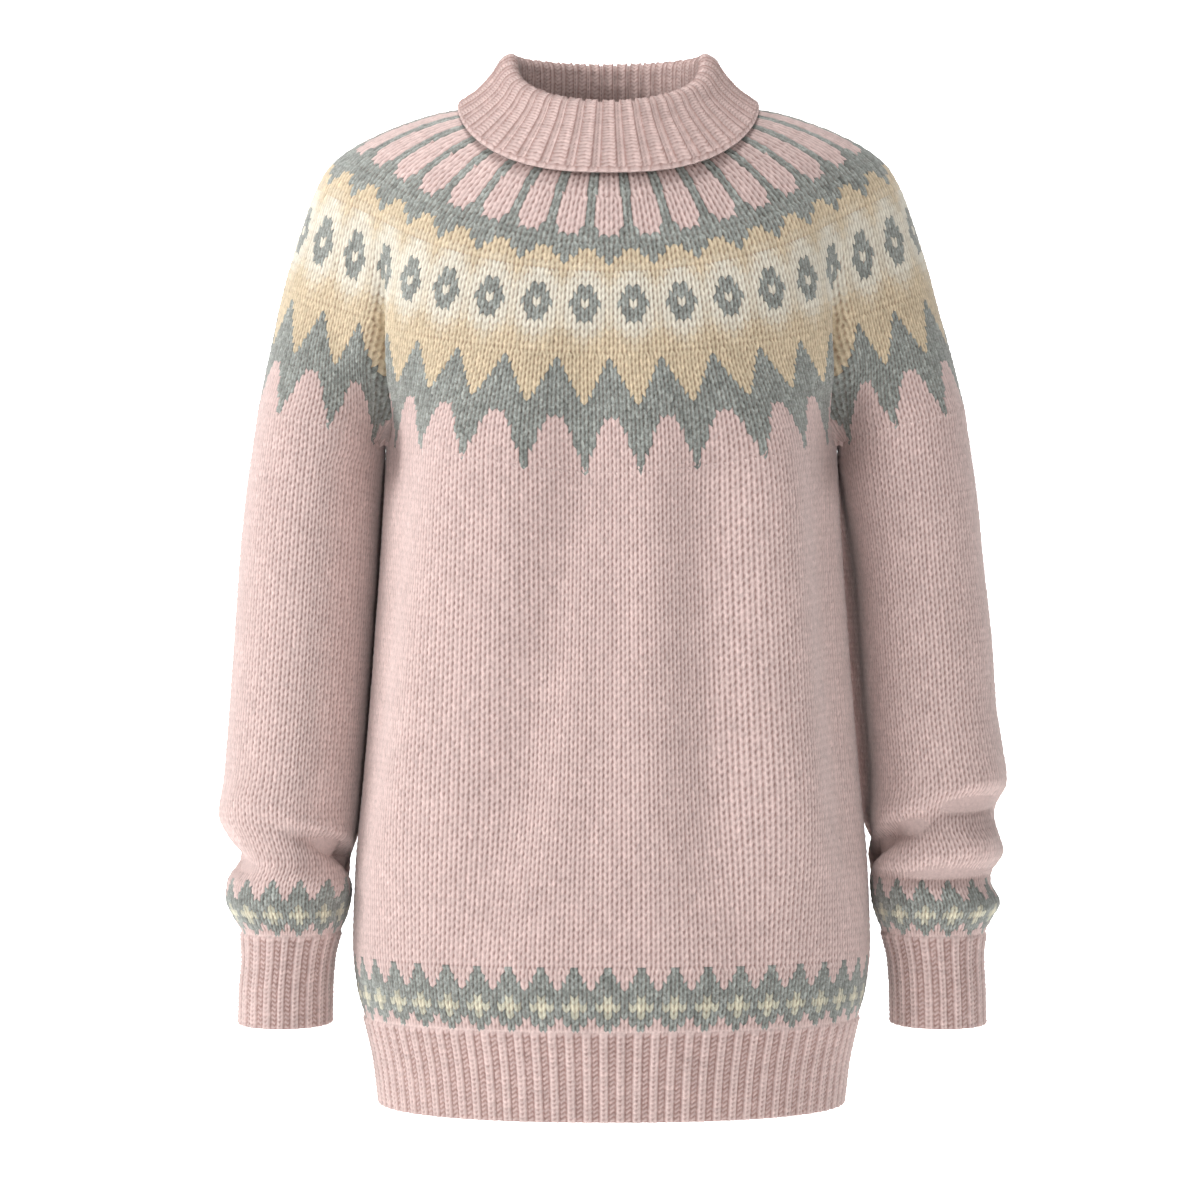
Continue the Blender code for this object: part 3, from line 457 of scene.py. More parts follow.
def sleeve(side, folds, z, share):
    """A sleeve at +X with its creases."""
    angle = sleeve_angle(share)
    point = sleeve_point(side, z, angle)
    middle = (read(side, "inner_x", z) + read(side, "outer_x", z)) / 2
    centre = np.stack([middle, read(side, "middle_y", z), z], -1)
    push = 0 * share
    for turn, fold_z, rise, span, half_height, depth in zip(*folds.values()):
        aside = past(share, turn)
        above = z - fold_z - rise * aside
        push = push + depth * bell(above / half_height) * bell(aside / span)
    free = ease(np.abs(past(share)), *BULGE_FREE)
    push = np.where(push > 0, push * free, push)
    return pitted(point + unit(point - centre) * push[..., None])


def smooth_ring(values, share):
    """Ring of a table row: values by column name, at shares of the ring from mid front."""

    def point(angle):
        x, y, ahead = section(values, angle)
        fall = np.abs(ahead) ** values["droop"]
        drop = np.where(ahead > 0, values["front_z"], values["back_z"]) - values["side_z"]
        return np.stack([values["middle_x"] + x, y, values["side_z"] + drop * fall], -1)

    return point(even_angles(point)(share))


def yoke_seam(share):
    """The yoke's lower edge: round the front, one arm, the back and the other arm."""
    stitch = (share % 1.0) * RING_STITCHES
    half = RING_STITCHES / 2
    left = stitch <= half
    stitch = np.where(left, stitch, 2 * half - stitch)  # the right side mirrors the left
    back = stitch > SIDE_SHARE
    ahead = np.where(back, half - stitch, stitch)  # counted from mid front or mid back
    on_body = ahead <= BODY_SHARE

    quarter = ahead / BODY_SHARE * UNDERARM_QUARTER
    body_share = np.where(back, 2 - quarter, quarter) / 4
    body_share = np.where(on_body, body_share, 0.0)
    torso = torso_point(torso_seam(body_share), torso_angle(body_share))

    up_arm = (ahead - BODY_SHARE) / (SIDE_SHARE - BODY_SHARE)
    arm_share = UNDERARM_SHARE + up_arm * (0.5 - UNDERARM_SHARE)
    arm_share = np.where(back, 1 - arm_share, arm_share)
    arm = sleeve_point(RIGHT_SLEEVE, sleeve_seam(arm_share), sleeve_angle(arm_share))

    corner = np.abs(ahead - BODY_SHARE) < 1e-6
    point = np.where(on_body[..., None], torso, arm)
    point = np.where(corner[..., None], (torso + arm) / 2, point)
    return point * np.stack([np.where(left, 1, -1), 0 * stitch + 1, 0 * stitch + 1], -1)


ring_shares = np.arange(RING_SAMPLES) / RING_SAMPLES
crease_parts = np.fft.rfft(
    yoke_seam(ring_shares) - smooth_ring(read_all(YOKE, 0.0), ring_shares), axis=0
)


def yoke(row, share):
    """The yoke at a knitted row above its seam: smooth rings that fold in beside each arm."""
    point = smooth_ring(read_all(YOKE, row), share)
    strength = (1 - ease(row, 0.0, CREASE_ROWS)) ** CREASE_POWER
    spread = CREASE_SPREAD * min(1.0, row / CREASE_SOFT_ROWS)
    waves = np.arange(len(crease_parts))[:, None]
    softened = np.fft.irfft(
        crease_parts * np.exp(-2 * (np.pi * waves * spread) ** 2), RING_SAMPLES, axis=0
    )
    grid = np.append(ring_shares, 1.0)
    for axis in range(3):
        wave = np.append(softened[:, axis], softened[0, axis])
        point[:, axis] += strength * np.interp(share % 1.0, grid, wave)
    for face, middle, back in (("front", HOLLOW_TURN, 1), ("back", 0.5 - HOLLOW_TURN, -1)):
        for left in (1, -1):
            stitch = left * (TUCK_STITCH + TUCK_LEAN * row)
            stitch = stitch if back > 0 else RING_STITCHES / 2 - stitch
            from_tuck = past(share, stitch / RING_STITCHES) * RING_STITCHES
            from_hollow = past(share, left * middle)
            for depths, aside, spread in (
                (HOLLOW, from_hollow, HOLLOW_SPREAD),
                (TUCK, from_tuck, TUCK_SPREAD),
            ):
                push = read(depths, face, row) * bell(aside / spread)
                point = point + push[:, None] * np.array([-left, back, 0.0]) / np.sqrt(2)
    ahead = (share + 0.25) % 0.5 - 0.25
    over_body = np.clip(ahead * RING_STITCHES / BODY_SHARE, -1, 1) * UNDERARM_QUARTER / 4
    drapes = drape(point[:, 2], share - ahead + over_body)
    return pitted(point + away(point) * drapes[:, None])


def collar_ring(step, share):
    values = read_all(COLLAR, step)
    values.update(middle_x=COLLAR_MIDDLE_X, side_y=COLLAR_MIDDLE_Y)
    return smooth_ring(values, share)


def collar(step, share):
    """The collar's middle surface, which starts a seam's gap beyond the yoke's edge."""
    edge, edge_normal, onwards = neck_edge(share)
    start = edge - edge_normal * WALL / 2 + onwards * SEAM
    shift = (start - collar_ring(0.0, share)) * (1 - ease(step, 0.0, 2.0))
    return collar_ring(step, share) + shift


def collar_normals(step, share):
    """Normals of the collar's hidden face, which turn into the yoke's at the neck seam."""
    inside = min(max(step, COLLAR_STEP), COLLAR_END - COLLAR_STEP)
    own = outward(collar, inside, share, COLLAR_STEP)
    near = 1 - ease(step, 0.0, 1.0)
    return unit(own * (1 - near) + neck_edge(share)[1] * near)


def neck_edge(share):
    """The yoke's edge at the neck, its normal there and the way its rows run on."""
    edge = yoke(YOKE_ROWS, share)
    onwards = unit(edge - yoke(YOKE_ROWS - 1.0, share))
    return edge, outward(yoke, YOKE_ROWS - ROW_STEP, share, ROW_STEP), onwards


def outward(surface, v, share, step):
    """Unit normals of surface(v, share), pointing out of the garment."""
    round_way = surface(v, share + TURN_STEP) - surface(v, share - TURN_STEP)
    up_way = surface(v + step, share) - surface(v - step, share)
    return unit(np.cross(round_way, up_way))


def placed(name, data):
    """A new thing in the scene."""
    thing = bpy.data.objects.new(name, data)
    bpy.context.scene.collection.objects.link(thing)
    return thing


# Yarns, as linear colours, then how far they vary from leg to leg and how flecked they are.
YARNS = {
    "P": (0.700, 0.545, 0.515, 0.035, 0.15),
    "G": (0.305, 0.330, 0.308, 0.110, 1.00),
    "S": (0.675, 0.568, 0.398, 0.050, 0.35),
    "C": (0.770, 0.738, 0.625, 0.025, 0.15),
    "M": (0.720, 0.690, 0.530, 0.050, 0.30),
    "L": (0.560, 0.555, 0.445, 0.080, 0.50),
}
GAP_SHADE = (0.44, 0.34, 0.32)  # painted shade: how dark the gaps between stitches are painted
# Painted shade: the inner face's colours are dimmed.
LINING_SHADE = (0.9, 0.9, 0.9, 1.0)

# The columns of one stitch are its gap, a leg, its middle and the other leg. Each has a lift in half
# rows, and a height and a painted shade, first on the ring between two rows, then on the one across a
# row. These two are the same on both sides, so they go up to the middle. The lining has a ring every
# so many rows, with painted shades that alternate.
STITCH = dict(
    columns=(0.0, 0.25, 0.5, 0.75),
    lift=(0.55, 0.0, -0.55, 0.0),
    heights=((-0.0020, -0.0003, -0.0018), (-0.0009, 0.0000, -0.0009)),
    depths=((1.00, 0.06, 0.85), (0.50, 0.00, 0.40)),
    to_a_colour=2,
    lining_rows=3,
    lining_shades=(0.25,),
)
# The columns of one rib, from the middle of one furrow to the next.
RIB = dict(
    columns=(0.00, 0.10, 0.20, 0.34, 0.50, 0.66, 0.80, 0.90),
    lift=(0.0, 0.5, 0.0, 0.0, -0.7, 0.0, 0.0, -0.5),
    heights=(
        (-0.0004, -0.0003, -0.0005, 0.00125, 0.0003),
        (0.0004, 0.0005, -0.0003, 0.00175, 0.0010),
    ),
    # depths are painted shade, darkest in the furrows beside the ribs' crests.
    depths=((0.90, 0.85, 1.00, 0.10, 0.75), (0.30, 0.30, 0.85, 0.00, 0.25)),
    to_a_colour=8,
    lining_rows=2,
    lining_shades=(0.1, 0.8),
)
# The collar's ribs are narrower, with wider furrows.
COLLAR_RIB = dict(
    columns=(0.00, 0.12, 0.24, 0.33, 0.41, 0.50, 0.59, 0.67, 0.76, 0.88),
    lift=(-0.5, 0.0, 0.5, 0.0, 0.3, -0.6, 0.3, 0.0, 0.5, 0.0),
    heights=(
        (0.0001, -0.0005, -0.0003, -0.0009, 0.0013, 0.0005),
        (0.0008, 0.0003, -0.0001, -0.0008, 0.0018, 0.0010),
    ),
    # depths are painted shade, darkest in the furrows beside the ribs' crests.
    depths=((0.80, 0.60, 0.75, 1.00, 0.12, 0.70), (0.08, 0.12, 0.35, 0.95, 0.00, 0.30)),
    to_a_colour=10,
    lining_rows=2,
    lining_shades=(0.1, 0.8),
)

# The last rings of a cast-off edge: height and painted shade at a notch of its chain and beside it.
CAST_OFF = (
    ((-0.0006, 1.00), (-0.0003, 0.70)),
    ((0.0006, 0.70), (0.0013, 0.15)),
    ((0.0005, 0.60), (0.0010, 0.15)),
)
CHAIN = 4  # columns to a notch

# The charts, half a repeat wide and as fine as the legs of the stitches: a word is a row from the
# repeat's edge to its middle, the lowest row first. P pink, G sage, S sand, C cream, M and L cream
# with some and with more sage, and a digit is a blend from 0, sand, to 9, cream. A zone starts
# with how many legs lie before the repeat's edge at mid front.
BAND = "PPPG PGGG GGGL GLLM GGGL GGGG PGGG PPGG PPPG".split()
SLEEVE_BAND_EDGE = 0  # legs from a band's first column back to a repeat's edge
HEM_BAND_EDGE = 5  # the same from the middle of the front
YOKE_ZONES = (
    (0, "PPPPPPG PPPPPPG PPPPPGG PPPPGGG PPPPGGG PPPGGGG PPGGGGG GGGGGGG GGGGGGG GGGGGGS"
        " GGGGGSS GGGGSSS GGGSSSS GGSSSSS GSSSSSS SSSSSSS"),
    (1, "000001 001123 123567 4679CC 689CGG 79CGGG 8CGGGC 8CCGGG 79CCGG 4689CC 134679"),
    (1, "01122 GSSSS GGGSS GGGGG"),
    (1, "GGGG PPGG PPPG PPPG PPPG PPPG"),
    (0, " ".join(["PPG"] * 8)),
)
LEGS = 2  # of a stitch

# The unwrapped cloth: how far its sides stand off, where a strip's rims lie beyond its sides, and
# the least steps up it, between rings and at a turn.
UNWRAP_MARGIN = 0.01
UNWRAP_RIMS = np.array((0.3, 0.6)) * UNWRAP_MARGIN
UNWRAP_STEP = 1e-6
UNWRAP_TURN = 1e-4
SAME_SHARE = 1e-9  # shares no further apart than this are the same place
LINING_EVERY = 4  # the inner face has every fourth column

START, END = 2, 3  # where a ring's end vertices stand in Cloth.ends

random = np.random.default_rng(11)


def tint(letter):
    """A yarn's colour, how far it varies and how flecked it is."""
    if letter.isdigit():
        share = int(letter) / 9
        return np.array(YARNS["S"]) * (1 - share) + np.array(YARNS["C"]) * share
    return np.array(YARNS[letter])


def tint_rows(words, legs, before=0):
    """Colour and flecks of every leg of knitted rows, which start so many legs before the edge of
    a repeat."""
    rows = []
    for word in words:
        yarns = np.array([tint(letter) for letter in word + word[::-1]])
        yarns = yarns[(np.arange(legs) - before) % len(yarns)]
        shade = 1 + yarns[:, 3:4] * random.normal(size=(legs, 1))
        rows.append(np.hstack([yarns[:, :3] * shade, yarns[:, 4:]]))
    return np.array(rows)


def columns(count, plan):
    """Places of the columns of so many stitches or ribs, counted in them."""
    return (np.arange(count)[:, None] + plan["columns"]).ravel()


def panel_columns(stitches):
    """Places of a panel's columns, in stitches from its middle, with the one that ends it."""
    return np.append(columns(stitches, STITCH), stitches) - stitches / 2


def squares(values):
    """The four corners of every face of a grid."""
    return np.stack([values[:-1, :-1], values[:-1, 1:], values[1:, 1:], values[1:, :-1]], -1)


def grid(surface, rows, shares, closed):
    """Points and unit normals of surface(row, share)."""
    points = np.stack([surface(row, shares) for row in rows])
    if closed:
        round_way = np.roll(points, -1, 1) - np.roll(points, 1, 1)
    else:
        round_way = np.gradient(points, axis=1)
    return points, unit(np.cross(round_way, np.gradient(points, axis=0)))


def between(rings, spot):
    """Values of rings at places between them, one for each column."""
    below = np.clip(np.floor(spot).astype(int), 0, len(rings) - 2)
    share = (spot - below)[..., None]
    column = np.arange(rings.shape[1])
    return rings[below, column] * (1 - share) + rings[below + 1, column] * share


def fade(at, rows, ends):
    """How much of their lift and of their relief the rings at these rows keep near the ends."""
    lift, relief = np.ones((2, len(at), 1))
    for end, away in zip(ends, (at - rows[0], rows[1] - at)):
        if end != "seam":
            lift = np.minimum(lift, np.maximum(away, 0)[:, None])
        if end in ("join", "under"):
            relief = np.minimum(relief, 0.5 + away[:, None])
    return lift, relief


def walk(low, high):
    """The steps up two rising rows of numbers: where each stands, and whether high goes on."""
    i = j = 0
    while i < len(low) - 1 or j < len(high) - 1:
        along_high = i == len(low) - 1 or (
            j < len(high) - 1 and high[j + 1] < low[i + 1] - SAME_SHARE
        )
        yield i, j, along_high
        i, j = (i, j + 1) if along_high else (i + 1, j)


class Cloth:
    """One piece: rings of vertices up its outer face and down its inner face."""

    def __init__(self, closed=True, turned=False, mirrored=False):
        self.closed = closed
        self.turned = turned != mirrored  # the rings run the other way round the outer face
        self.mirrored = mirrored
        self.points, self.depths = [], []
        self.faces, self.tints, self.unwrap = [], [], []
        self.count = 0
        self.walked = 0.0  # the way come so far, up the outer face and down the inner one
        self.first = self.last = None  # a ring's shares, points, vertices and way
        self.lining = []
        self.ends = {True: [], False: []}  # row, way and end vertices of a strip's rings, by face

    def rings(self, rows, shares, points, depths, tints, per, outer=True):
        """Rings of points, (ring, column, axis). tints has a line for every row of two rings and
        a colour for every per columns."""
        rows = np.asarray(rows, float)
        index = self.count + np.arange(points[..., 0].size).reshape(points.shape[:2])
        self.count += index.size
        self.points.append(points.reshape(-1, 3))
        self.depths.append(np.broadcast_to(depths, index.shape).reshape(-1))
        apart = np.linalg.norm(np.diff(points, axis=0), axis=-1).mean(1)
        start = self.walked
        if self.last:
            start += UNWRAP_TURN + np.linalg.norm(points[0].mean(0) - self.last[1].mean(0))
        way = start + np.concatenate([[0.0], np.cumsum(apart + UNWRAP_STEP)])
        self.walked = way[-1]
        self.ends[outer] += list(zip(rows, way, index[:, 0], index[:, -1]))
        if self.last:
            self.lace(self.last, (shares, points[0], index[0], way[0]))
        else:
            self.first = shares, points[0], index[0]
            self.first_tints = tints[0]
        self.last = shares, points[-1], index[-1], way[-1]
        self.last_tints = tints[-1]

        shares = np.broadcast_to(shares, index.shape)
        if self.closed:
            index = np.hstack([index, index[:, :1]])
            shares = np.hstack([shares, shares[:, :1] + 1])
        faces = squares(index)
        row = np.floor((rows[:-1] + rows[1:]) / 2 - np.ceil(rows[0])).astype(int)
        row = np.clip(row, 0, len(tints) - 1)
        colour = np.arange(faces.shape[1]) // per
        self.faces.append(faces.reshape(-1, 4))
        self.tints.append(tints[np.ix_(row, colour)].reshape(-1, 4))
        unwrap = squares(shares), squares(np.broadcast_to(way[:, None], index.shape))
        self.unwrap.append(np.stack(unwrap, -1).reshape(-1, 4, 2))

    def lace(self, low, high):
        """Triangles between two rings that may differ in their number of vertices."""
        (low_at, _, low_index, low_way), (high_at, _, high_index, high_way) = low, high
        start, width = low_at[0], low_at[-1] - low_at[0]
        if self.closed:
            low_at, high_at = (np.append(at, at[0] + 1) for at in (low_at, high_at))
            low_index, high_index = (np.append(i, i[0]) for i in (low_index, high_index))
            width = 1.0
        faces, places = [], []
        for i, j, along_high in walk(low_at, high_at):
            if along_high:
                third = high_index[j + 1], (high_at[j + 1], high_way)
            else:
                third = low_index[i + 1], (low_at[i + 1], low_way)
            faces.append((low_index[i], third[0], high_index[j], high_index[j]))
            places.append(((low_at[i], low_way), third[1], (high_at[j], high_way)))
        places = np.array(places)
        middle = (places[:, :, 0].mean(1) - start) / width
        colours = len(self.last_tints)
        colour = np.clip(np.floor(middle * colours).astype(int), 0, colours - 1)
        self.faces.append(np.array(faces))
        self.tints.append(self.last_tints[colour])
        self.unwrap.append(np.concatenate([places, places[:, 2:]], 1))

    def knit(self, surface, shares, rows, tints, plan, ends=("edge", "edge"), last=False, wall=WALL):
        """Rows of stitches or ribs on surface(row, share).

        ends says what becomes of the lowest and the uppermost row. At a seam the other piece goes
        on with the same stitches, and half a row more lies hidden under it. At an edge the rows
        level out, and at a join they also flatten. Under another piece they do so and go on for
        half a row, and cast off they end in a chain. last adds the ring that closes the last row.
        """
        low, high = rows
        halves = np.arange(2 * low - 2, 2 * high + 3) / 2
        points, normals = grid(surface, halves, shares, self.closed)
        hidden = [end in ("seam", "under") for end in ends]
        at = np.arange(2 * low - hidden[0], 2 * high + last + hidden[1]) / 2
        lift, relief = fade(at, rows, ends)
        column = np.arange(len(shares)) % len(plan["lift"])
        inwards = np.minimum(column, len(plan["lift"]) - column)
        spot = 2 * (at[:, None] - halves[0]) + np.array(plan["lift"])[column] * lift
        across = (2 * at).astype(int) % 2
        height = np.array(plan["heights"])[across][:, inwards] * relief
        height += random.normal(size=height.shape) * UNEVEN_HEIGHT * relief
        under = np.where(at < low, ends[0] == "under", ends[1] == "under")
        below = np.where(under, UNDER_BY, HIDDEN_BY) * ((at < low) | (at > high))
        height -= below[:, None]
        # Painted shade of the gaps between the stitches or ribs, from the plan.
        depth = np.array(plan["depths"])[across][:, inwards] * relief
        depth *= 1 + random.normal(size=depth.shape) * UNEVEN_GAP_SHADE
        if ends[1] == "cast off":
            chain = np.array(CAST_OFF)[:, np.minimum(np.arange(len(shares)) % CHAIN, 1)]
            height[-len(CAST_OFF):], depth[-len(CAST_OFF):] = chain[..., 0], chain[..., 1]
        raised = between(points, spot) + between(normals, spot) * height[..., None]
        self.rings(at, shares, raised, depth, tints, plan["to_a_colour"])
        for row in (*range(low, high, plan["lining_rows"]), *[high] * last):
            half = 2 * (row - low) + 2
            # The inner face takes its row's mean yarn, dimmed as painted shade.
            colour = tints[min(row, high - 1) - low].mean(0) * LINING_SHADE
            inner = points[half, ::LINING_EVERY] - wall * normals[half, ::LINING_EVERY]
            self.lining.append((row, shares[::LINING_EVERY], inner, plan["lining_shades"], colour))

    def line(self):
        """The inner face and the rims, down to the first ring."""
        self.rims = self.first[2], self.last[2]
        for row, shares, points, depths, colour in self.lining[::-1]:
            self.last_tints = np.broadcast_to(colour, (len(shares), 4))
            # The inner face's painted shade, which alternates across the ribs.
            depths = np.resize(depths, len(shares))
            self.rings([row], shares, points[None], depths, self.last_tints[None], 1, outer=False)
        self.last_tints = self.first_tints
        shares, points, index = self.first
        self.walked += np.linalg.norm(points.mean(0) - self.last[1].mean(0)) + UNWRAP_TURN
        self.lace(self.last, (shares, points, index, self.walked))
        if not self.closed:
            self.close(START, -UNWRAP_RIMS)
            self.close(END, 1 + UNWRAP_RIMS)

    def close(self, end, rims):
        """The rim along one end of a strip, whose outer and inner edges unwrap to rims."""
        outer, inner = sorted(self.ends[True]), sorted(self.ends[False])
        near, far = rims
        faces, places = [], []
        for i, j, along_inner in walk([ring[0] for ring in outer], [ring[0] for ring in inner]):
            way = outer[i][1]
            corners = [(outer[i][end], near, way), (inner[j][end], far, way)]
            if along_inner:
                corners.append((inner[j + 1][end], far, way + UNWRAP_TURN))
            else:
                corners.append((outer[i + 1][end], near, outer[i + 1][1]))
            if end == START:
                corners[1:] = corners[:0:-1]
            corners.append(corners[-1])
            faces.append([vertex for vertex, _, _ in corners])
            places.append([place for _, *place in corners])
        self.faces.append(np.array(faces))
        self.tints.append(np.repeat(self.first_tints[:1], len(faces), axis=0))
        self.unwrap.append(np.array(places, float))

    def piece(self, name, material):
        """The finished piece, lined, coloured and unwrapped."""
        self.line()
        faces, tints, unwrap = map(np.concatenate, (self.faces, self.tints, self.unwrap))
        points = np.concatenate(self.points) * (-1 if self.mirrored else 1, 1, 1)
        if self.turned:
            faces, unwrap = faces[:, [1, 0, 3, 2]], unwrap[:, [1, 0, 3, 2]]
        keep = np.ones(faces.shape, bool)
        keep[:, 3] = faces[:, 2] != faces[:, 3]
        sizes = keep.sum(1)
        data = bpy.data.meshes.new(name)
        data.vertices.add(len(points))
        data.vertices.foreach_set("co", points.astype(np.float32).ravel())
        data.loops.add(int(sizes.sum()))
        data.loops.foreach_set("vertex_index", faces[keep].astype(np.int32))
        data.polygons.add(len(faces))
        starts = np.cumsum(sizes) - sizes
        data.polygons.foreach_set("loop_start", starts.astype(np.int32))
        data.polygons.foreach_set("use_smooth", np.ones(len(faces), bool))
        data.update(calc_edges=True)

        yarn = data.color_attributes.new("yarn", "FLOAT_COLOR", "CORNER")
        yarn.data.foreach_set("color", np.repeat(tints, sizes, axis=0).astype(np.float32).ravel())
        # The depth attribute holds the painted shade of the gaps, from 0 to 1.
        depth = data.attributes.new("depth", "FLOAT", "POINT")
        depths = np.clip(np.concatenate(self.depths), 0, 1)
        depth.data.foreach_set("value", depths.astype(np.float32))
        edges = np.empty(2 * len(data.edges), np.int32)
        data.edges.foreach_get("vertices", edges)
        rim = np.zeros(len(points), int)
        for number, ring in enumerate(self.rims, 1):
            rim[ring] = number
        rim = rim[edges].reshape(-1, 2)
        sharp = (rim[:, 0] > 0) & (rim[:, 0] == rim[:, 1])
        data.attributes.new("sharp_edge", "BOOLEAN", "EDGE").data.foreach_set("value", sharp)
        places = (unwrap + (UNWRAP_MARGIN, 0)) / (1 + 2 * UNWRAP_MARGIN, self.walked)
        layer = data.uv_layers.new(name="OFBake")
        layer.data.foreach_set("uv", places[keep].astype(np.float32).ravel())
        data.materials.append(material)
        return placed(name, data)


def make_yoke(name, material):
    def surface(row, share):
        if row < 0:
            return yoke(0.0, share) + (0, 0, row * STITCH_ROW)
        if row > YOKE_ROWS:
            edge = yoke(YOKE_ROWS, share)
            return edge + (row - YOKE_ROWS) * (edge - yoke(YOKE_ROWS - 1.0, share))
        return yoke(row, share)

    cloth = Cloth()
    low = 0
    for before, zone in YOKE_ZONES:
        words = zone.split()
        stitches = REPEATS * len(words[0])
        shares = (columns(stitches, STITCH) - before / LEGS) / stitches
        high = low + len(words)
        cloth.knit(
            surface,
            shares,
            (low, high),
            tint_rows(words, LEGS * stitches, before),
            STITCH,
            ends=("edge" if low else "seam", "edge"),
            last=high == YOKE_ROWS,
        )
        low = high
    return cloth.piece(name, material)


def climb(form, start, band_row, rows, top, row, share):
    """form(height, share) at a row: the band's rows are level, the others rise evenly to top, and
    past them it goes straight up."""
    band_top = start + BAND_ROWS * band_row
    if row <= BAND_ROWS:
        return form(start + row * band_row + 0 * share, share)
    if row <= rows:
        up = (row - BAND_ROWS) / (rows - BAND_ROWS)
        return form(band_top + up * (top - band_top), share)
    return form(top, share) + (0, 0, (row - rows) * STITCH_ROW)


def make_body(name, material, middle):
    """Front or back with its band, from side seam to side seam; middle is its middle's share."""

    def surface(row, share):
        point = climb(body, HEM_TOP, HEM_BAND_ROW, BODY_ROWS, torso_seam(share), row, share)
        if row <= BODY_ROWS:
            return point
        stitch = (share - middle) * BODY_STITCHES
        on_yoke = np.abs(stitch) <= BODY_SHARE
        edge = yoke(row - BODY_ROWS, middle + stitch / RING_STITCHES)
        return np.where(on_yoke[:, None], edge, point)

    cloth = Cloth(closed=False)
    stitches = HEM_BAND_STITCHES // 2
    cloth.knit(
        surface,
        middle + panel_columns(stitches) / HEM_BAND_STITCHES,
        (0, BAND_ROWS),
        tint_rows(BAND, LEGS * stitches, LEGS * stitches // 2 - HEM_BAND_EDGE),
        STITCH,
        ends=("join", "edge"),
    )
    stitches = BODY_STITCHES // 2
    cloth.knit(
        surface,
        middle + panel_columns(stitches) / BODY_STITCHES,
        (BAND_ROWS, BODY_ROWS),
        tint_rows(["P"] * (BODY_ROWS - BAND_ROWS), LEGS * stitches),
        STITCH,
        ends=("edge", "seam"),
        last=True,
    )
    return cloth.piece(name, material)


def make_sleeve(name, material, side, folds, mirrored):
    def form(z, share):
        return sleeve(side, folds, z, share)

    def surface(row, at):
        stitch = at * SLEEVE_STITCHES
        share = np.interp(
            stitch % SLEEVE_STITCHES,
            (0, UNDERARM_STITCHES, SLEEVE_STITCHES - UNDERARM_STITCHES, SLEEVE_STITCHES),
            (0, UNDERARM_SHARE, 1 - UNDERARM_SHARE, 1),
        )
        point = climb(form, CUFF_TOP, CUFF_BAND_ROW, SLEEVE_ROWS, sleeve_seam(share), row, share)
        if row <= SLEEVE_ROWS:
            return point
        from_middle = np.abs(stitch % SLEEVE_STITCHES - SLEEVE_STITCHES / 2)
        on_yoke = from_middle <= SLEEVE_STITCHES / 2 - UNDERARM_STITCHES
        ring_stitch = stitch - UNDERARM_STITCHES + BODY_SHARE
        edge = yoke(row - SLEEVE_ROWS, ring_stitch / RING_STITCHES)
        return np.where(on_yoke[:, None], edge, point)

    cloth = Cloth(mirrored=mirrored)
    words = BAND + ["P"] * (SLEEVE_ROWS - BAND_ROWS)
    cloth.knit(
        surface,
        columns(SLEEVE_STITCHES, STITCH) / SLEEVE_STITCHES,
        (0, SLEEVE_ROWS),
        tint_rows(words, LEGS * SLEEVE_STITCHES, SLEEVE_BAND_EDGE),
        STITCH,
        ends=("join", "seam"),
        last=True,
    )
    return cloth.piece(name, material)


def make_ribs(name, material, cloth, surface, ribs, rows, plan, ends, wall):
    shares = columns(ribs, plan) / ribs
    tints = tint_rows(["P"] * rows, ribs)
    cloth.knit(surface, shares, (0, rows), tints, plan, ends, last=True, wall=wall)
    return cloth.piece(name, material)


def make_band(name, material, form, heights, ribs, rows, mirrored=False):
    """Hem or cuff: ribs on form(height, share), between two heights."""
    start, top = heights

    def surface(row, share):
        return form(start + row * ((top - start) / rows) + 0 * share, share)

    cloth, ends = Cloth(mirrored=mirrored), ("edge", "under")
    return make_ribs(name, material, cloth, surface, ribs, rows, RIB, ends, RIB_WALL)


def make_hem(name, material):
    def form(z, share):
        return torso_point(z, torso_angle(share))

    return make_band(name, material, form, (HEM_END, HEM_TOP), HEM_RIBS, HEM_ROWS)


def make_cuff(name, material, side, mirrored):
    def form(z, share):
        return sleeve_point(side, z, sleeve_angle(share))

    heights = CUFF_END, CUFF_TOP
    return make_band(name, material, form, heights, CUFF_RIBS, CUFF_ROWS, mirrored)


def make_collar(name, material):
    """The visible face is the inside of the neck and the outside of the fall."""
    steps = np.linspace(0, COLLAR_END, COLLAR_SAMPLES + 1)
    path = np.array([collar_ring(step, np.array([0.25]))[0] for step in steps])
    walked = np.concatenate([[0], np.cumsum(np.linalg.norm(np.diff(path, axis=0), axis=1))])

    def surface(row, share):
        along = np.clip(row, 0, COLLAR_ROWS)
        step = float(np.interp(along / COLLAR_ROWS * walked[-1], walked, steps))
        near = min(max(step, COLLAR_STEP), COLLAR_END - COLLAR_STEP)
        onwards = unit(collar(near + COLLAR_STEP, share) - collar(near - COLLAR_STEP, share))
        face = collar(step, share) - collar_normals(step, share) * RIB_WALL / 2
        return face + (row - along) * COLLAR_ROW * onwards

    cloth = Cloth(turned=True)
    ends = ("join", "cast off")
    return make_ribs(
        name, material, cloth, surface, COLLAR_RIBS, COLLAR_ROWS, COLLAR_RIB, ends, -RIB_WALL
    )


# Materials.

# The wool's light, how flecks change it in every yarn and by how flecked one is, and how the dye's
# clouds do; then its roughness, and how the fuzz changes that.
WOOL_LIGHT = 0.97
FLECK, OWN_FLECK = 0.30, 1.5
CLOUD = 0.16
ROUGH, ROUGH_FUZZ = 0.82, 0.15

# Sockets of a colour mix.
MIX_SHARE, MIX_A, MIX_B = 0, 6, 7
MIX_RESULT = 2


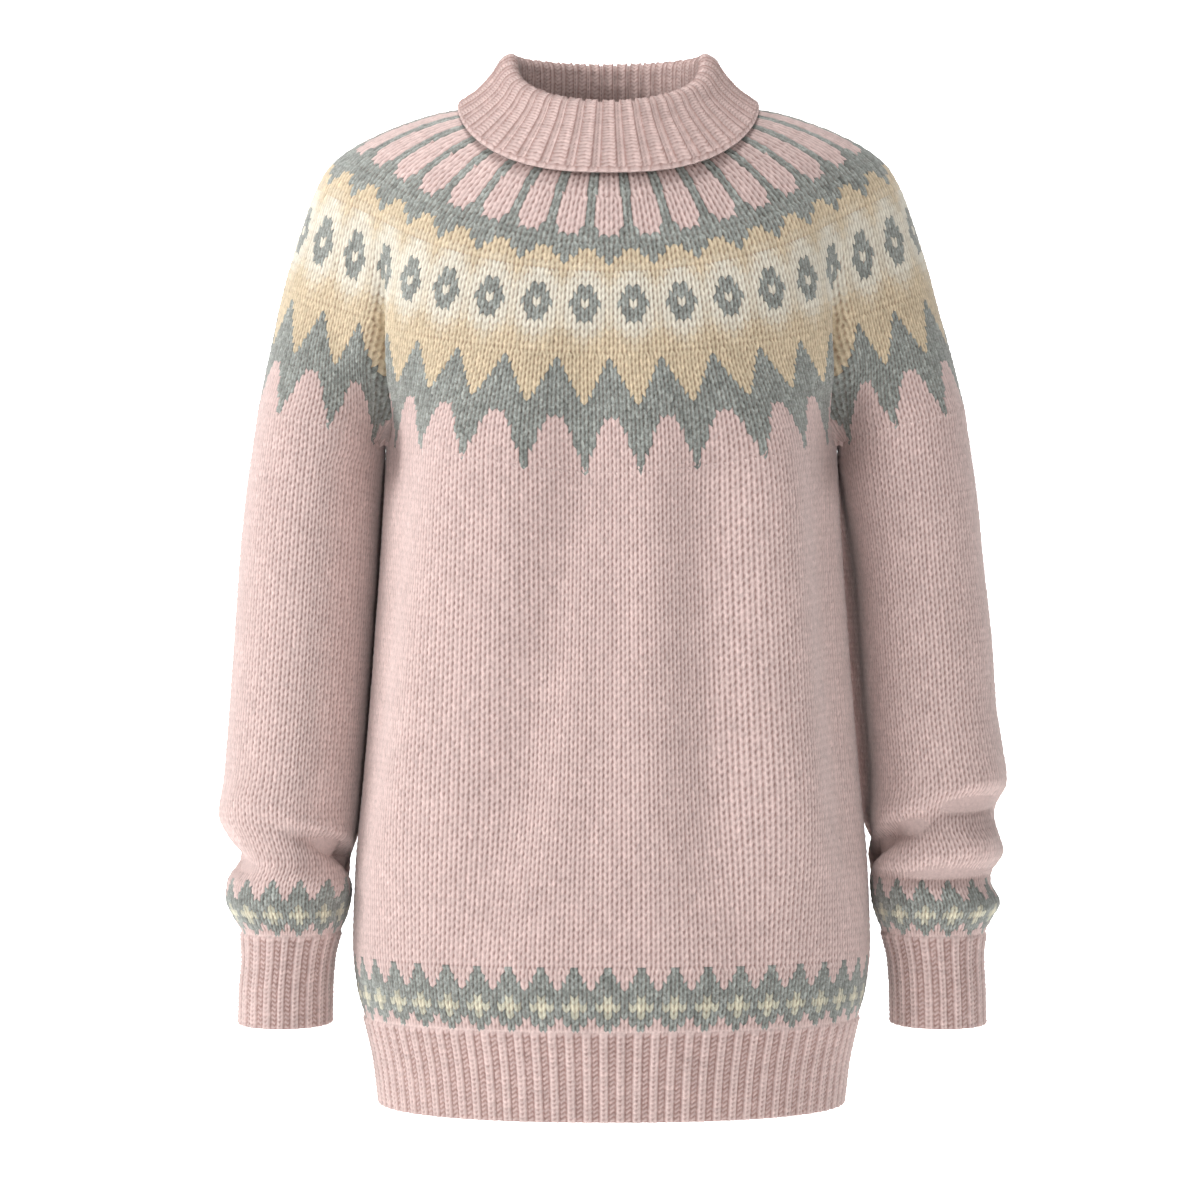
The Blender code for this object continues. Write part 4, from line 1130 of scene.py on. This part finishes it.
class Graph:
    """A material's nodes."""

    def __init__(self, name):
        self.material = bpy.data.materials.new(name)
        self.material.use_nodes = True
        self.tree = self.material.node_tree
        self.shader = self.tree.nodes["Principled BSDF"]

    def node(self, kind, settings=None, sockets=None):
        """A node with its settings and then the values or links of its sockets."""
        node = self.tree.nodes.new(kind)
        for key, value in (settings or {}).items():
            setattr(node, key, value)
        self.feed(node, sockets or {})
        return node

    def feed(self, node, sockets):
        for key, value in sockets.items():
            if isinstance(value, Wire):
                value = value.socket
            if isinstance(value, bpy.types.NodeSocket):
                self.tree.links.new(value, node.inputs[key])
            else:
                node.inputs[key].default_value = value


class Wire:
    """A value in a material, with arithmetic."""

    def __init__(self, graph, socket):
        self.graph, self.socket = graph, socket

    def math(self, operation, left, right):
        node = self.graph.node("ShaderNodeMath", {"operation": operation}, {0: left, 1: right})
        return Wire(self.graph, node.outputs[0])

    def __add__(self, other):
        return self.math("ADD", self, other)

    def __radd__(self, other):
        return self.math("ADD", other, self)

    def __sub__(self, other):
        return self.math("SUBTRACT", self, other)

    def __mul__(self, other):
        return self.math("MULTIPLY", self, other)


def wool(slot):
    """Fuzzy dyed wool: flecked fibres, soft uneven dye and painted shade in the gaps between the
    stitches.
    """
    graph = Graph(slot)
    place = graph.node("ShaderNodeTexCoord").outputs["Object"]
    yarn = graph.node("ShaderNodeAttribute", {"attribute_name": "yarn"})
    # depth is the painted shade of the gaps between stitches.
    depth = graph.node("ShaderNodeAttribute", {"attribute_name": "depth"})
    flecks = Wire(graph, yarn.outputs["Alpha"])

    def noise(scale, detail, roughness=0.5):
        sockets = {"Vector": place, "Scale": scale, "Detail": detail, "Roughness": roughness}
        return Wire(graph, graph.node("ShaderNodeTexNoise", sockets=sockets).outputs["Fac"])

    fleck = noise(scale=420.0, detail=3.0, roughness=0.65) - 0.5
    cloud = noise(scale=28.0, detail=2.0) - 0.5
    fuzz = noise(scale=1900.0, detail=2.0, roughness=0.7)
    light = WOOL_LIGHT + fleck * (FLECK + flecks * OWN_FLECK) + cloud * CLOUD
    shaded = graph.node(
        "ShaderNodeVectorMath",
        {"operation": "SCALE"},
        {"Vector": yarn.outputs["Color"], "Scale": light},
    )
    # Painted shade: the colour is darkened towards the gap shade by depth.
    gap = graph.node(
        "ShaderNodeMix",
        {"data_type": "RGBA", "blend_type": "MULTIPLY"},
        {MIX_SHARE: depth.outputs["Fac"], MIX_A: shaded.outputs[0], MIX_B: (*GAP_SHADE, 1.0)},
    )
    fibres = {"Height": fuzz + fleck, "Strength": 0.35, "Distance": 0.0006}
    graph.feed(
        graph.shader,
        {
            "Base Color": gap.outputs[MIX_RESULT],
            "Roughness": ROUGH + fuzz * ROUGH_FUZZ,
            "Normal": graph.node("ShaderNodeBump", sockets=fibres).outputs[0],
            "Sheen Weight": 0.30,
            "Sheen Roughness": 0.45,
            "Sheen Tint": (1.0, 0.93, 0.90, 1.0),
            "Specular IOR Level": 0.2,
        },
    )
    return graph.material


def glowing_white():
    """The backdrop's paint."""
    graph = Graph("backdrop")
    graph.feed(
        graph.shader,
        {
            "Base Color": (0.93, 0.93, 0.93, 1.0),
            "Roughness": 0.9,
            "Emission Color": WHITE,
            "Emission Strength": 1.0,
        },
    )
    return graph.material


# The sweater.


def dress(piece, node, flat, area=None):
    """Puts a piece in its node's place. area, its cut's where that isn't a rectangle, is not used."""
    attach(piece, "root")
    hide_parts(node)
    area = area or flat[0] * flat[1]


slots = ("yoke_knit", "collar_rib", "body_knit", "hem_rib", "sleeve_knit", "cuff_rib")
knits = {slot: wool(slot) for slot in slots}
yoke_stitches = REPEATS * sum(len(zone.replace(" ", "")) for _, zone in YOKE_ZONES)
dress(
    make_yoke("yoke_cloth", knits["yoke_knit"]),
    "yoke",
    flat=(RING_STITCHES * STITCH_WIDTH, YOKE_ROWS * STITCH_ROW),
    area=STITCH_WIDTH * STITCH_ROW * yoke_stitches,
)
panel = (BODY_STITCHES / 2 * STITCH_WIDTH, BODY_ROWS * STITCH_ROW)
for node, middle in (("body_front", 0.0), ("body_back", 0.5)):
    piece = make_body(node + "_cloth", knits["body_knit"], middle)
    dress(piece, node, panel)
piece = make_hem("hem_cloth", knits["hem_rib"])
dress(piece, "hem_band", HEM_FLAT)
for hand, side, folds, mirrored in (
    ("left", LEFT_SLEEVE, LEFT_SLEEVE_FOLDS, False),
    ("right", RIGHT_SLEEVE, RIGHT_SLEEVE_FOLDS, True),
):
    arm = f"sleeve_{hand}"
    piece = make_sleeve(arm + "_cloth", knits["sleeve_knit"], side, folds, mirrored)
    dress(piece, arm, SLEEVE_FLAT)
    piece = make_cuff(f"cuff_{hand}_cloth", knits["cuff_rib"], side, mirrored)
    dress(piece, f"cuff_{hand}", CUFF_FLAT)
piece = make_collar("collar_cloth", knits["collar_rib"])
dress(piece, "collar", COLLAR_FLAT)


# Stage, light and camera.

STAGE_FLOOR = -1.05
STAGE_BACK = 4.5
STAGE_BEND = 0.8  # radius with which the floor turns up into the backdrop
BEND_STEPS = 24
STAGE_REACH = 6.0  # to both sides, forwards and up
WHITE = (1.0, 1.0, 1.0, 1.0)
WORLD_LIGHT = 0.15
FRAME_WIDTH = 36.0  # millimetres, of the camera's sensor
FOCAL_LENGTH = 94.29


def stage():
    """A pale floor that curves up into a backdrop."""
    profile = [(-STAGE_REACH, 0.0)]
    profile += [
        (STAGE_BACK - STAGE_BEND + STAGE_BEND * np.sin(turn), STAGE_BEND * (1 - np.cos(turn)))
        for turn in np.linspace(0, np.pi / 2, BEND_STEPS + 1)
    ]
    profile += [(STAGE_BACK, STAGE_REACH)]
    points = [(x, y, z + STAGE_FLOOR) for y, z in profile for x in (-STAGE_REACH, STAGE_REACH)]
    faces = [(2 * i, 2 * i + 1, 2 * i + 3, 2 * i + 2) for i in range(len(profile) - 1)]
    data = bpy.data.meshes.new("backdrop")
    data.from_pydata(points, [], faces)
    data.shade_smooth()
    data.materials.append(glowing_white())
    placed("backdrop", data)


def lamp(name, place, target, size, power):
    data = bpy.data.lights.new(name, "AREA")
    data.shape = "DISK"
    data.size = size
    data.energy = power
    thing = placed(name, data)
    thing.location = place
    thing.rotation_euler = (Vector(target) - Vector(place)).to_track_quat("-Z", "Y").to_euler()


stage()
lamp("key", place=(-2.95, -1.1, 0.95), target=(0, 0, -0.28), size=1.4, power=80)
lamp("fill", place=(0.8, -2.4, 0.9), target=(0, 0, -0.25), size=1.4, power=13)
lamp("top", place=(-0.2, -0.5, 2.0), target=(0, 0, -0.1), size=1.2, power=34)
world = bpy.data.worlds.new("studio")
world.use_nodes = True
sky = world.node_tree.nodes["Background"]
sky.inputs["Color"].default_value = WHITE
sky.inputs["Strength"].default_value = WORLD_LIGHT
bpy.context.scene.world = world
bpy.context.scene.view_settings.view_transform = "Standard"

lens = bpy.data.cameras.new("camera")
lens.sensor_width = FRAME_WIDTH
lens.lens = FOCAL_LENGTH
camera = placed("camera", lens)
camera.location = (-0.00805, -2.2, -0.33)
camera.rotation_euler = (np.pi / 2, 0, 0)
bpy.context.scene.camera = camera
